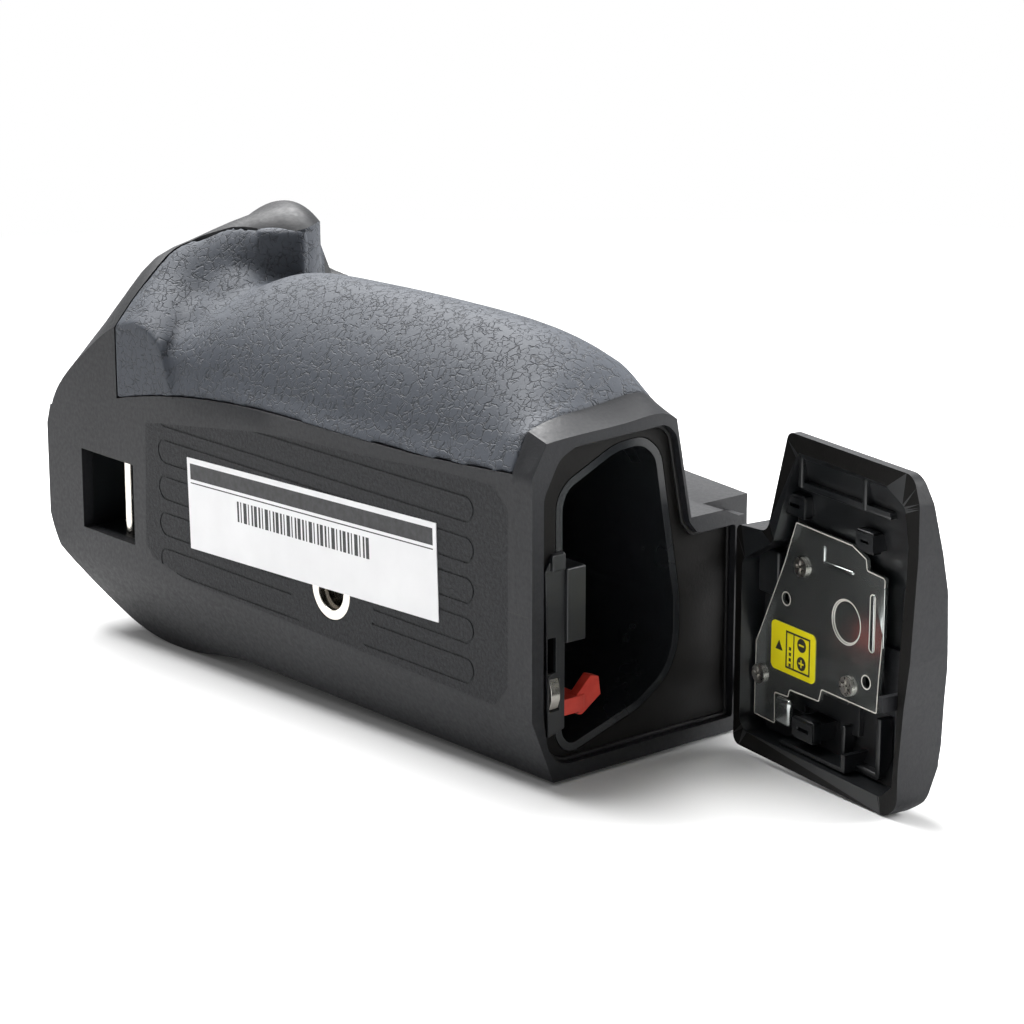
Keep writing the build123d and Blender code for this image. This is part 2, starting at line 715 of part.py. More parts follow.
with BuildPart() as rear_shell:
    add(shell.part)
    split(bisect_by=Plane.XY.offset(shell_split), keep=Keep.BOTTOM)
save(rear_shell.part, "rear_shell")
# Camera side: cover plate over both shells, with posts for the wheel bracket and the main board
post_radius = 3.3
bracket_top = wheel_bottom - 2.2
bracket_thickness = 1.2
bracket_half = 0.5 * pin_spacing + 4.0
bracket_width = 8.0
pin_spots = [(-0.5 * pin_spacing, screw_z), (0.5 * pin_spacing, screw_z)]
board_top = base_to_camera - 7.4
main_board_thickness = 1.6
main_board_x = (-0.72 * socket_to_left, -0.30 * socket_to_left)
main_board_z = (-0.56 * socket_to_back, 0.52 * socket_to_step)
board_post_radius = 2.0
board_inset = 3.0
board_spots = [(main_board_x[0] + board_inset, main_board_z[1] - board_inset),
               (main_board_x[1] - board_inset, main_board_z[0] + board_inset)]
connector_x = 0.5 * (main_board_x[0] + main_board_x[1]) - 0.03 * socket_to_left
connector_z = -0.05 * socket_to_back
rear_boss_radius = 2.6
rear_boss_length = 3.6

with BuildPart() as camera_plate:
    with BuildSketch(base_plane(plate_bottom)):
        Rectangle(4 * socket_to_left, 4 * hook_height)
    extrude(amount=-2 * plate_thickness)
    add(outer_form.part, mode=Mode.INTERSECT)
    with BuildSketch(base_plane(bracket_top)):
        with Locations(*pin_spots):
            Circle(post_radius)
    extrude(amount=bracket_top - plate_bottom)
    with BuildSketch(base_plane(board_top)):
        with Locations(*board_spots):
            Circle(board_post_radius)
    extrude(amount=board_top - plate_bottom)
    with BuildSketch(base_plane(plate_bottom)):
        with Locations(rear_dial_centre):
            Circle(rear_boss_radius)
    extrude(amount=rear_boss_length)
    with BuildSketch(base_plane(base_to_camera - pin_height - plate_thickness)):
        with Locations(*pin_spots):
            Circle(pin_shank_radius)
    extrude(amount=-(pin_height + 2 * plate_thickness), mode=Mode.SUBTRACT)
    with BuildSketch(base_plane(plate_bottom - overrun)):
        with Locations((0, screw_z)):
            Circle(screw_thread_radius + fit_gap)
        with Locations((connector_x, connector_z)):
            Rectangle(connector_length + 2 * glue_gap, connector_width + 2 * glue_gap)
        with Locations(*cover_spots):
            Circle(boss_hole_radius)
    extrude(amount=-(plate_thickness + 2 * overrun), mode=Mode.SUBTRACT)
    with BuildSketch(base_plane(base_to_camera - 0.5 * plate_thickness)):
        with Locations(*cover_spots):
            Circle(2.2 * boss_hole_radius)
    extrude(amount=-plate_thickness, mode=Mode.SUBTRACT)
    with BuildSketch(base_plane(bracket_top)):
        with Locations(*pin_spots):
            Circle(screw_shank_radius)
        with Locations(*board_spots):
            Circle(screw_shank_radius)
    extrude(amount=-plate_thickness - (board_top - bracket_top), mode=Mode.SUBTRACT)
    with BuildSketch(base_plane(plate_bottom)):
        with Locations(rear_dial_centre):
            Circle(dial_shaft_radius)
    extrude(amount=rear_boss_length, mode=Mode.SUBTRACT)
save(camera_plate.part, "camera_plate")

cover_screw_spots = [(x, -z) for x, z in cover_spots]
cover_screws = screw_at(facing_base_from(base_to_camera - 0.5 * plate_thickness), cover_screw_spots,
                        boss_hole_radius, 0.5 * plate_thickness + 0.6 * screw_boss_length,
                        2 * boss_hole_radius, 0.4 * plate_thickness)
save(cover_screws, "cover_screws")

# Attachment wheel with its captive camera screw, held between the cover plate and a steel bracket
tooth_count = 36
tooth_radius = 0.5

with BuildPart() as attachment_wheel:
    with BuildSketch(base_plane(wheel_bottom)):
        with Locations((0, screw_z)):
            Circle(wheel_radius)
            with PolarLocations(wheel_radius, tooth_count):
                Circle(tooth_radius, mode=Mode.SUBTRACT)
    extrude(amount=-wheel_thickness)
    with BuildSketch(base_plane(bracket_top + fit_gap)):
        with Locations((0, screw_z)):
            Circle(1.4 * screw_thread_radius)
    extrude(amount=-(plate_bottom - bracket_top - 2 * fit_gap))
    with BuildSketch(base_plane(bracket_top - bracket_thickness)):
        with Locations((0, screw_z)):
            Circle(0.6 * screw_thread_radius)
    extrude(amount=-(bracket_thickness + base_to_camera + screw_height - bracket_top), mode=Mode.SUBTRACT)
save(attachment_wheel.part, "attachment_wheel")

with BuildPart() as attachment_screw:
    with BuildSketch(base_plane(bracket_top - bracket_thickness)):
        with Locations((0, screw_z)):
            Circle(0.6 * screw_thread_radius)
    extrude(amount=-(plate_bottom - fit_gap - bracket_top + bracket_thickness))
    with BuildSketch(base_plane(plate_bottom - fit_gap)):
        with Locations((0, screw_z)):
            Circle(neck_share * screw_thread_radius)
    extrude(amount=-(plate_thickness + 2 * fit_gap))
    with BuildSketch(base_plane(base_to_camera + fit_gap)):
        with Locations((0, screw_z)):
            Circle(screw_thread_radius)
    extrude(amount=fit_gap - screw_height)
    chamfer(attachment_screw.faces().sort_by(Axis.Y)[-1].edges(), length=0.25 * screw_thread_radius)
save(attachment_screw.part, "attachment_screw")

with BuildPart() as wheel_bracket:
    with BuildSketch(base_plane(bracket_top)):
        with Locations((0, screw_z)):
            RectangleRounded(2 * bracket_half, bracket_width, 0.4 * bracket_width)
            Circle(0.6 * screw_thread_radius + hinge_play, mode=Mode.SUBTRACT)
        with Locations(*pin_spots):
            Circle(screw_shank_radius, mode=Mode.SUBTRACT)
    extrude(amount=bracket_thickness)
save(wheel_bracket.part, "wheel_bracket")

bracket_screw_spots = pin_spots
bracket_screws = screw_at(base_plane(bracket_top - bracket_thickness), bracket_screw_spots,
                          screw_shank_radius,
                          bracket_thickness + plate_thickness, screw_head_radius, screw_head_height)
save(bracket_screws, "bracket_screws")

with BuildPart() as locating_pins:
    with BuildSketch(base_plane(base_to_camera - pin_height - plate_thickness)):
        with Locations(*pin_spots):
            Circle(pin_shank_radius)
    extrude(amount=-(pin_height + plate_thickness))
    with BuildSketch(base_plane(base_to_camera)):
        with Locations(*pin_spots):
            Circle(neck_share * pin_radius)
    extrude(amount=-fit_gap)
    with BuildSketch(base_plane(base_to_camera + fit_gap)):
        with Locations(*pin_spots):
            Circle(pin_radius)
    extrude(amount=fit_gap - pin_height)
    chamfer(locating_pins.faces().sort_by(Axis.Y)[-2:].edges(), length=0.3 * pin_radius)
save(locating_pins.part, "locating_pins")

# Camera connector on the main board
contact_count = 10
contact_pitch = 0.086 * connector_length
contact_size = 0.7
connector_top = base_to_camera + connector_height - 1.0
contact_start = connector_x - 0.5 * (contact_count - 1) * contact_pitch
contact_rows = (connector_z - 0.13 * connector_width, connector_z + 0.13 * connector_width)
contact_spots = [(contact_start + i * contact_pitch, row)
                 for i in range(contact_count) for row in contact_rows]

with BuildPart() as camera_connector:
    with BuildSketch(base_plane(board_top)):
        with Locations((connector_x, connector_z)):
            Rectangle(connector_length, connector_width)
    extrude(amount=board_top - connector_top)
    with BuildSketch(base_plane(connector_top)):
        with Locations((connector_x, connector_z)):
            Rectangle(0.92 * connector_length, 0.55 * connector_width)
    extrude(amount=0.5 * connector_height, mode=Mode.SUBTRACT)
save(camera_connector.part, "camera_connector")

with BuildPart() as connector_contacts:
    with BuildSketch(base_plane(connector_top - 0.5 * connector_height)):
        with Locations(*contact_spots):
            Rectangle(contact_size, contact_size)
    extrude(amount=-0.4 * connector_height)
save(connector_contacts.part, "connector_contacts")

with BuildPart() as main_board:
    with BuildSketch(base_plane(board_top)):
        with Locations((0.5 * (main_board_x[0] + main_board_x[1]),
                        0.5 * (main_board_z[0] + main_board_z[1]))):
            Rectangle(main_board_x[1] - main_board_x[0], main_board_z[1] - main_board_z[0])
        with Locations(*board_spots):
            Circle(screw_shank_radius, mode=Mode.SUBTRACT)
    extrude(amount=main_board_thickness)
save(main_board.part, "main_board")

board_screws = screw_at(base_plane(board_top - main_board_thickness), board_spots, screw_shank_radius,
                        main_board_thickness + plate_thickness, screw_head_radius, screw_head_height)
save(board_screws, "board_screws")

# Battery chamber: bezel, soft seal, box, contacts and spring
bezel_back = bezel_x - bezel_thickness
hook_slot = (0.1175 * grip_depth, 0.168 * grip_depth, -0.187 * socket_to_step, 0.161 * socket_to_step)

with BuildPart() as chamber_bezel:
    add(prism(seat_outline, seat_round, bezel_back, bezel_x, -seal_width))
    add(prism(mouth_outline, mouth_round, bezel_back - overrun, bezel_x + overrun, chamber_wall + glue_gap),
        mode=Mode.SUBTRACT)
    with BuildSketch(end_plane(bezel_x - 0.7 * bezel_thickness)):
        with Locations((0.5 * (hook_slot[0] + hook_slot[1]), 0.5 * (hook_slot[2] + hook_slot[3]))):
            Rectangle(hook_slot[1] - hook_slot[0], hook_slot[3] - hook_slot[2])
    extrude(amount=bezel_thickness, mode=Mode.SUBTRACT)
save(chamber_bezel.part, "chamber_bezel")

with BuildPart() as door_seal:
    add(prism(seat_outline, seat_round, bezel_back, bezel_x + seal_proud, 0))
    add(prism(seat_outline, seat_round, bezel_back - overrun, bezel_x + overrun, -seal_width),
        mode=Mode.SUBTRACT)
save(door_seal.part, "door_seal")

contact_low_y = 0.38 * grip_depth
contact_high_y = 0.77 * grip_depth
contact_low_z = -0.26 * socket_to_step
contact_high_z = 0.13 * socket_to_step
window_centre = (0.5 * (contact_low_y + contact_high_y), 0.5 * (contact_low_z + contact_high_z))
latch_slot_back = bezel_x - 7.0
latch_slot_front = bezel_x - 2.4

with BuildPart() as chamber_box:
    add(prism(mouth_outline, mouth_round, chamber_back_x - chamber_wall, bezel_x, chamber_wall))
    add(prism(mouth_outline, mouth_round, chamber_back_x, bezel_x + overrun, 0), mode=Mode.SUBTRACT)
    with BuildSketch(end_plane(chamber_back_x - chamber_wall - overrun)):
        with Locations(window_centre):
            Rectangle(contact_high_y - contact_low_y, contact_high_z - contact_low_z)
    extrude(amount=2 * overrun + chamber_wall, mode=Mode.SUBTRACT)
    with BuildSketch(base_plane(0)):
        with Locations((0.5 * (latch_slot_back + latch_slot_front), -0.62 * socket_to_step)):
            Rectangle(latch_slot_front - latch_slot_back, 0.325 * socket_to_step)
    extrude(amount=-0.24 * grip_depth, mode=Mode.SUBTRACT)
save(chamber_box.part, "chamber_box")

block_depth = 3.4
block_back_x = chamber_back_x - chamber_wall - block_depth
blade_thickness = 0.6
blade_count = 5
blade_step = (contact_high_z - contact_low_z - 2 * blade_thickness) / (blade_count - 1)
blade_low_z = contact_low_z + blade_thickness
blade_spots = [(window_centre[0], blade_low_z + i * blade_step) for i in range(blade_count)]
blade_width = 0.6 * (contact_high_y - contact_low_y)

with BuildPart() as contact_blades:
    with BuildSketch(end_plane(block_back_x + 0.3 * block_depth)):
        with Locations(*blade_spots):
            Rectangle(blade_width, blade_thickness)
    extrude(amount=0.7 * block_depth + 3 * chamber_wall)
save(contact_blades.part, "contact_blades")

with BuildPart() as contact_block:
    with BuildSketch(end_plane(block_back_x)):
        with Locations(window_centre):
            Rectangle(1.3 * (contact_high_y - contact_low_y), 1.8 * (contact_high_z - contact_low_z))
    extrude(amount=block_depth)
    add(contact_blades.part, mode=Mode.SUBTRACT)
save(contact_block.part, "contact_block")

spring_radius = 3.0
spring_wire = 0.35
spring_pitch = 2.2
spring_turns = 4
spring_at = (0.62 * grip_depth, 1.2 * socket_to_step)
spring_start = chamber_back_x + spring_wire

with BuildPart() as eject_spring:
    with BuildLine() as coil:
        Helix(pitch=spring_pitch, height=spring_turns * spring_pitch, radius=spring_radius,
              center=(spring_start, spring_at[0], spring_at[1]), direction=(1, 0, 0))
    with BuildSketch(Plane(origin=coil.line @ 0, z_dir=coil.line % 0)):
        Circle(spring_wire)
    sweep()
save(eject_spring.part, "eject_spring")

ribbon_thickness = 0.3
ribbon_width = 6.0
ribbon_z = 0.18 * socket_to_step
ribbon_x = block_back_x
ribbon_jog = 5.0
ribbon_far_x = ribbon_x - ribbon_jog
ribbon_end_x = main_board_x[1] - board_inset
board_bottom = board_top - main_board_thickness
with BuildPart() as ribbon_cable:
    with BuildSketch(Plane.XY.offset(ribbon_z)):
        with BuildLine():
            Polyline((ribbon_x, window_centre[0]), (ribbon_x, contact_high_y),
                     (ribbon_far_x, contact_high_y + ribbon_jog), (ribbon_far_x, board_bottom),
                     (ribbon_end_x, board_bottom), (ribbon_end_x, board_bottom - ribbon_thickness),
                     (ribbon_far_x - ribbon_thickness, board_bottom - ribbon_thickness),
                     (ribbon_far_x - ribbon_thickness, contact_high_y + ribbon_jog),
                     (ribbon_x - ribbon_thickness, contact_high_y),
                     (ribbon_x - ribbon_thickness, window_centre[0]), close=True)
        make_face()
    extrude(amount=ribbon_width)
save(ribbon_cable.part, "ribbon_cable")

# Parts round the chamber's mouth on the base side
guide_low_z = 0.084 * socket_to_step
guide_high_z = 0.82 * socket_to_step
guide_top_z = 0.974 * socket_to_step
mouth_wall_y = mouth_shares[0][0] * grip_depth
guide_depth = 10.0
housing_thickness = 0.6

with BuildPart() as chamber_guide:
    with BuildSketch(end_plane(bezel_x - guide_depth)):
        with Locations((mouth_wall_y + 0.057 * grip_depth, 0.5 * (guide_low_z + guide_high_z))):
            Rectangle(0.114 * grip_depth, guide_high_z - guide_low_z)
    extrude(amount=guide_depth + 2 * housing_thickness)
save(chamber_guide.part, "chamber_guide")

leaf_low_z = -0.565 * socket_to_step
leaf_high_z = -0.245 * socket_to_step
leaf_y = 0.16 * grip_depth
leaf_width = 0.054 * grip_depth
with BuildPart() as latch_housing:
    with BuildSketch(end_plane(bezel_x)):
        with BuildLine():
            Polyline((0.12 * grip_depth, -0.82 * socket_to_step),
                     (0.222 * grip_depth, -0.76 * socket_to_step),
                     (0.222 * grip_depth, guide_top_z), (0.15 * grip_depth, guide_top_z),
                     (0.102 * grip_depth, guide_high_z), close=True)
        make_face()
        with Locations((0.5 * (hook_slot[0] + hook_slot[1]), 0.5 * (hook_slot[2] + hook_slot[3]))):
            Rectangle(hook_slot[1] - hook_slot[0], hook_slot[3] - hook_slot[2], mode=Mode.SUBTRACT)
        with Locations((leaf_y, 0.5 * (leaf_low_z + leaf_high_z))):
            Rectangle(leaf_width + 2 * glue_gap, leaf_high_z - leaf_low_z, mode=Mode.SUBTRACT)
    extrude(amount=housing_thickness)
    with BuildSketch(end_plane(bezel_x + housing_thickness)):
        with Locations((0.17 * grip_depth, 0.5 * (guide_high_z + guide_top_z))):
            Rectangle(0.08 * grip_depth, guide_top_z - guide_high_z)
    extrude(amount=housing_thickness)
save(latch_housing.part, "latch_housing")

with BuildPart() as side_spring:
    with BuildSketch(Plane(origin=(0, leaf_y - 0.5 * leaf_width, 0), x_dir=(0, 0, 1), z_dir=(0, 1, 0))):
        with BuildLine():
            Polyline((leaf_low_z, bezel_x), (leaf_high_z, bezel_x), (leaf_high_z, bezel_x + leaf_thickness),
                     (0.35 * leaf_low_z + 0.65 * leaf_high_z, bezel_x + housing_thickness + leaf_thickness),
                     (0.65 * leaf_low_z + 0.35 * leaf_high_z, bezel_x + housing_thickness + leaf_thickness),
                     (leaf_low_z, bezel_x + leaf_thickness), close=True)
        make_face()
    extrude(amount=leaf_width)
save(side_spring.part, "side_spring")

# Red battery latch: a slanting paddle on a stem whose foot slides in a slot of the chamber wall
paddle_shares = ((0.305, -0.50), (0.40, -0.316), (0.45, -0.348), (0.464, -0.535), (0.438, -0.568),
                 (0.346, -0.69),
                 (0.327, -0.684), (0.305, -0.66))
stem_low_z = -0.65 * socket_to_step
stem_high_z = -0.49 * socket_to_step
with BuildPart() as battery_latch:
    with BuildSketch(end_plane(bezel_x + glue_gap)):
        with BuildLine():
            Polyline(*[(a * grip_depth, b * socket_to_step) for a, b in paddle_shares], close=True)
        make_face()
    extrude(amount=-paddle_thickness)
    with BuildSketch(end_plane(latch_slot_back + glue_gap)):
        with Locations((mouth_wall_y + glue_gap + 0.065 * grip_depth, 0.5 * (stem_low_z + stem_high_z))):
            Rectangle(0.13 * grip_depth, stem_high_z - stem_low_z)
    extrude(amount=bezel_x + 2 * glue_gap - latch_slot_back)
    with BuildSketch(end_plane(latch_slot_back + glue_gap)):
        with Locations((mouth_wall_y - 0.4 * chamber_wall + glue_gap, 0.5 * (stem_low_z + stem_high_z))):
            Rectangle(0.8 * chamber_wall, stem_high_z - stem_low_z)
    extrude(amount=latch_slot_front - latch_slot_back - 2 * glue_gap)
save(battery_latch.part, "battery_latch")
# Hinge: fixed bracket with two arms, the pin, and a coil round the pin
bracket_bar = 2.5
bracket_high_y = hinge_back_y + arm_strap
arm_starts = (knuckle_low - fit_gap - arm_width, knuckle_high + fit_gap)

with BuildPart() as hinge_bracket:
    for arm_z in arm_starts:
        with BuildSketch(Plane.XY.offset(arm_z)):
            with BuildLine():
                Polyline((bracket_x, hinge_back_y), (hinge_x - 0.85 * knuckle_radius, hinge_back_y),
                         (hinge_x - 0.3 * knuckle_radius, hinge_y + knuckle_radius),
                         (hinge_x - 1.95 * knuckle_radius, bracket_high_y), (bracket_x, bracket_high_y),
                         close=True)
            make_face()
            with Locations((hinge_x, hinge_y)):
                Circle(knuckle_radius)
                Circle(hinge_pin_radius, mode=Mode.SUBTRACT)
        extrude(amount=arm_width)
    with BuildSketch(Plane.XY.offset(arm_starts[0])):
        with Locations((bracket_x + 0.5 * bracket_bar, hinge_back_y + 0.5 * arm_strap)):
            Rectangle(bracket_bar, arm_strap)
    extrude(amount=arm_starts[1] + arm_width - arm_starts[0])
    with BuildSketch(end_plane(bracket_x - overrun)):
        with Locations(*hinge_screw_spots):
            Circle(screw_shank_radius)
    extrude(amount=2 * overrun + bracket_bar, mode=Mode.SUBTRACT)
save(hinge_bracket.part, "hinge_bracket")

hinge_screws = screw_at(end_plane(bracket_x + bracket_bar), hinge_screw_spots,
                        screw_shank_radius, bracket_bar + 0.6 * shell_wall, 0.9 * screw_head_radius,
                        screw_head_height)
save(hinge_screws, "hinge_screws")

with BuildPart() as hinge_pin:
    with BuildSketch(Plane.XY.offset(arm_starts[0])):
        with Locations((hinge_x, hinge_y)):
            Circle(hinge_pin_radius)
    extrude(amount=arm_starts[1] + arm_width - arm_starts[0])
save(hinge_pin.part, "hinge_pin")

with BuildPart() as hinge_spring:
    with BuildLine(Plane(origin=(hinge_x, hinge_y, coil_low + coil_wire), x_dir=(-1, 0, 0),
                         z_dir=(0, 0, 1))) as turn:
        Helix(pitch=0.14 * coil_length, height=0.84 * coil_length, radius=hinge_pin_radius + coil_wire)
    with BuildSketch(Plane(origin=turn.line @ 0, z_dir=turn.line % 0)):
        Circle(coil_wire)
    sweep()
    with BuildSketch(Plane.YZ.offset(bracket_x + bracket_bar)):
        with Locations((hinge_y + hinge_pin_radius + coil_wire, coil_low + coil_wire)):
            Circle(coil_wire)
    extrude(amount=hinge_x - bracket_x - bracket_bar)
save(hinge_spring.part, "hinge_spring")

# Battery door, drawn in its own frame: u along the door from the hinge, v up, height toward its inside
door_turn = radians(door_open_angle)
door_along = (sin(door_turn), -cos(door_turn), 0)
door_inward = (-cos(door_turn), -sin(door_turn), 0)


def door_plane(height):
    origin = (hinge_x + door_inward[0] * height, hinge_y + door_inward[1] * height, 0)
    return Plane(origin=origin, x_dir=door_along, z_dir=door_inward)


def door_side_plane(u):
    origin = (hinge_x + door_along[0] * u, hinge_y + door_along[1] * u, 0)
    return Plane(origin=origin, x_dir=(0, 0, 1), z_dir=door_along)


def door_end_plane(z):
    return Plane(origin=(hinge_x, hinge_y, z), x_dir=door_along, z_dir=(0, 0, -1))


door_outline_shares = (
    (0.275, 1.012), (0.945, 1.003), (0.978, 0.875), (0.98, 0.647), (0.955, 0.156), (0.93, -0.059),
    (0.91, -0.35),
    (0.91, -0.528), (0.85, -0.591), (-0.009, -0.581), (-0.009, 0.491), (0.167, 0.509))
door_rim_shares = (
    (0.328, 0.934), (0.798, 0.919), (0.905, 0.847), (0.928, 0.678), (0.923, 0.506), (0.905, 0.275),
    (0.898, 0.097),
    (0.895, -0.153), (0.881, -0.441), (0.819, -0.512), (0.06, -0.5), (0.026, -0.46), (0.026, 0.33),
    (0.2, 0.469))
door_plate_shares = (
    (0.256, 0.572), (0.567, 0.562), (0.644, 0.522), (0.651, 0.472), (0.737, 0.466), (0.747, 0.456),
    (0.744, 0.203),
    (0.728, -0.016), (0.721, -0.175), (0.421, -0.175), (0.407, -0.237), (0.242, -0.244), (0.233, -0.281),
    (0.156, -0.287), (0.16, -0.438), (0.036, -0.434), (0.04, -0.072), (0.191, 0.35))
skin_profile_shares = ((1.02, 0.80), (0.875, 0.626), (0.469, 0.158), (-0.062, -0.161), (-0.375, -0.059),
                       (-0.531, 0.23), (-0.6, 0.593), (-0.6, 1), (1.02, 1))
edge_profile_shares = ((1.007, 1), (1.007, 0.419), (0.948, -0.016), (0.874, -0.19), (-0.047, -0.19),
                       (-0.047, 1))
floor_height = 0.203 * rim_height
cavity_profile_shares = ((-0.537, 1.1), (-0.537, 0.49), (-0.391, 0.203), (0.312, 0.203), (0.891, 0.82),
                         (0.95, 1.1))
door_outline_round = [share * door_corner for share in (0.5, 0.8, 0.8, 1, 1, 1, 1, 1, 1, 0.5, 0.4, 0.7)]
door_rim_round = 0.5 * door_corner
door_plate_round = 0.12 * door_corner
plate_height = door_plate_height - door_plate_thickness
plate_screw_shares = ((0.298, 0.372), (0.07, -0.222), (0.565, -0.1))
plate_screw_spots = points(plate_screw_shares, door_length, door_top)
door_post_radius = 1.9
latch_u = 0.698 * door_length
latch_low = -0.156 * door_top
latch_plate_low = -0.19 * door_top
latch_plate_high = 0.125 * door_top
latch_plate_from = 0.63 * door_length
hook_u = 0.884 * door_length
hook_low = -0.081 * door_top
latch_floor = floor_height + glue_gap
knob_height = -skin_profile_shares[3][1] * rim_height + glue_gap


def door_prism(shares, rounds, height_from, height_to):
    with BuildPart() as form:
        with BuildSketch(door_plane(height_from)):
            with BuildLine():
                FilletPolyline(*points(shares, door_length, door_top), radius=rounds, close=True)
            make_face()
        extrude(amount=height_to - height_from)
    return form.part


def door_box(u_from, u_to, low, high, height_from, height_to):
    with BuildPart() as form:
        with BuildSketch(door_plane(height_from)):
            with Locations((0.5 * (u_from + u_to), 0.5 * (low + high))):
                Rectangle(u_to - u_from, high - low)
        extrude(amount=height_to - height_from)
    return form.part


def profile_prism(plane, shares, across, depth):
    with BuildPart() as form:
        with BuildSketch(plane):
            with BuildLine():
                Polyline(*points(shares, across, rim_height), close=True)
            make_face()
        extrude(amount=depth)
    return form.part


boss_wall = 1.0
boss_height = 0.86 * rim_height
boss_shares = ((0.288, 0.666, 0.102, 0.081), (0.671, 0.616, 0.091, 0.075), (0.36, -0.384, 0.116, 0.081))
boss_boxes = [(u * door_length, v * door_top, wide * door_length, tall * door_top)
              for u, v, wide, tall in boss_shares]
rib_shares = ((0.314, 0.802, 0.769, 0.788), (0.314, 0.334, 0.788, 0.872), (0.66, 0.68, 0.788, 0.863),
              (0.233, 0.58, -0.497, -0.478), (0.58, 0.60, -0.497, -0.412))

skin_form = profile_prism(door_side_plane(-0.2 * door_length), skin_profile_shares, door_top,
                          1.4 * door_length)
edge_form = profile_prism(door_end_plane(1.2 * door_top), edge_profile_shares, door_length, 2.4 * door_top)
cavity_side = profile_prism(door_side_plane(-0.2 * door_length), cavity_profile_shares, door_top,
                            1.4 * door_length)

with BuildPart() as cavity:
    add(door_prism(door_rim_shares, door_rim_round, -0.5 * rim_height, 1.2 * rim_height))
    add(cavity_side, mode=Mode.INTERSECT)

with BuildPart() as door_outer:
    add(door_prism(door_outline_shares, door_outline_round, -0.5 * rim_height, rim_height))
    add(skin_form, mode=Mode.INTERSECT)
    add(edge_form, mode=Mode.INTERSECT)
    add(cavity.part, mode=Mode.SUBTRACT)
    add(door_box(-0.009 * door_length, 0.06 * door_length, -0.56 * door_top, 0.48 * door_top, 0,
                 0.36 * rim_height))
    add(skin_form, mode=Mode.INTERSECT)
    for u, v, wide, tall in boss_boxes:
        add(door_box(u - 0.5 * wide, u + 0.5 * wide, v - 0.5 * tall, v + 0.5 * tall, floor_height,
                     boss_height))
        add(door_box(u - 0.5 * wide + boss_wall, u + 0.5 * wide - boss_wall, v - 0.5 * tall + boss_wall,
                     v + 0.5 * tall - boss_wall, plate_height, rim_height), mode=Mode.SUBTRACT)
    for u_from, u_to, low, high in rib_shares:
        add(door_box(u_from * door_length, u_to * door_length, low * door_top, high * door_top,
                     floor_height,
                     boss_height))
    with BuildSketch(door_plane(0)):
        with Locations(*plate_screw_spots):
            Circle(door_post_radius)
    extrude(amount=plate_height)
    with BuildSketch(door_plane(floor_height)):
        with Locations(*plate_screw_spots):
            Circle(screw_shank_radius)
    extrude(amount=plate_height, mode=Mode.SUBTRACT)
    with BuildSketch(Plane.XY.offset(knuckle_low)):
        with Locations((hinge_x, hinge_y)):
            Circle(knuckle_radius)
    extrude(amount=knuckle_high - knuckle_low)
    with BuildSketch(Plane.XY.offset(knuckle_low)):
        with Locations((hinge_x, hinge_y)):
            Circle(hinge_pin_radius + hinge_play)
    extrude(amount=knuckle_high - knuckle_low, mode=Mode.SUBTRACT)
    for notch_z in (knuckle_low - arm_width - 2 * fit_gap, knuckle_high):
        with BuildSketch(Plane.XY.offset(notch_z)):
            with Locations((hinge_x, hinge_y)):
                Circle(knuckle_radius + fit_gap)
        extrude(amount=arm_width + 2 * fit_gap, mode=Mode.SUBTRACT)
    with BuildSketch(Plane.XY.offset(coil_low - fit_gap)):
        with Locations((hinge_x, hinge_y)):
            Circle(knuckle_radius + fit_gap)
    extrude(amount=coil_length + 2 * fit_gap, mode=Mode.SUBTRACT)
    add(door_box(latch_u - 0.5 * latch_stem - glue_gap, latch_u + 0.5 * latch_stem + glue_gap,
                 latch_low + latch_stem - glue_gap, latch_low + 3 * latch_stem + latch_travel + glue_gap,
                 -0.5 * rim_height, rim_height), mode=Mode.SUBTRACT)
save(door_outer.part, "door_outer")

liner_rib_shares = ((0.1, 0.155, 0.02, 0.23), (0.2, 0.55, -0.2, -0.17), (0.2, 0.55, 0.18, 0.21))

with BuildPart() as door_inner:
    with BuildSketch(door_plane(floor_height)):
        with Locations((0.33 * door_length, -0.06 * door_top)):
            Rectangle(0.47 * door_length, 0.60 * door_top)
        with Locations(*plate_screw_spots):
            Circle(door_post_radius + glue_gap, mode=Mode.SUBTRACT)
    extrude(amount=door_liner)
    for u_from, u_to, low, high in liner_rib_shares:
        add(door_box(u_from * door_length, u_to * door_length, low * door_top, high * door_top,
                     floor_height,
                     plate_height))
    add(door_box(boss_boxes[2][0] - 0.1 * door_length, boss_boxes[2][0] + 0.1 * door_length,
                 boss_boxes[2][1] - 0.06 * door_top, boss_boxes[2][1] + 0.06 * door_top, 0, rim_height),
        mode=Mode.SUBTRACT)
save(door_inner.part, "door_inner")

with BuildPart() as door_plate:
    add(door_prism(door_plate_shares, door_plate_round, plate_height, door_plate_height))
    with BuildSketch(door_plane(plate_height)):
        with Locations(*plate_screw_spots):
            Circle(screw_shank_radius)
        with Locations(*points(((0.21, 0.19), (0.66, -0.047)), door_length, door_top)):
            Circle(1.3 * screw_shank_radius)
        with Locations(*points(((0.684, 0.236),), door_length, door_top)):
            SlotOverall(0.26 * door_top, 1.4 * screw_shank_radius, rotation=90)
    extrude(amount=door_plate_thickness, mode=Mode.SUBTRACT)
    with BuildSketch(door_plane(door_plate_height)):
        with Locations(*points(((0.545, 0.194),), door_length, door_top)):
            Circle(0.075 * door_length)
    extrude(amount=-0.4 * door_plate_thickness, mode=Mode.SUBTRACT)
save(door_plate.part, "door_plate")

door_plate_screws = screw_at(door_plane(door_plate_height), plate_screw_spots, screw_shank_radius,
                             door_plate_thickness + 2.4 * screw_shank_radius, screw_head_radius,
                             screw_head_height)
save(door_plate_screws, "door_plate_screws")

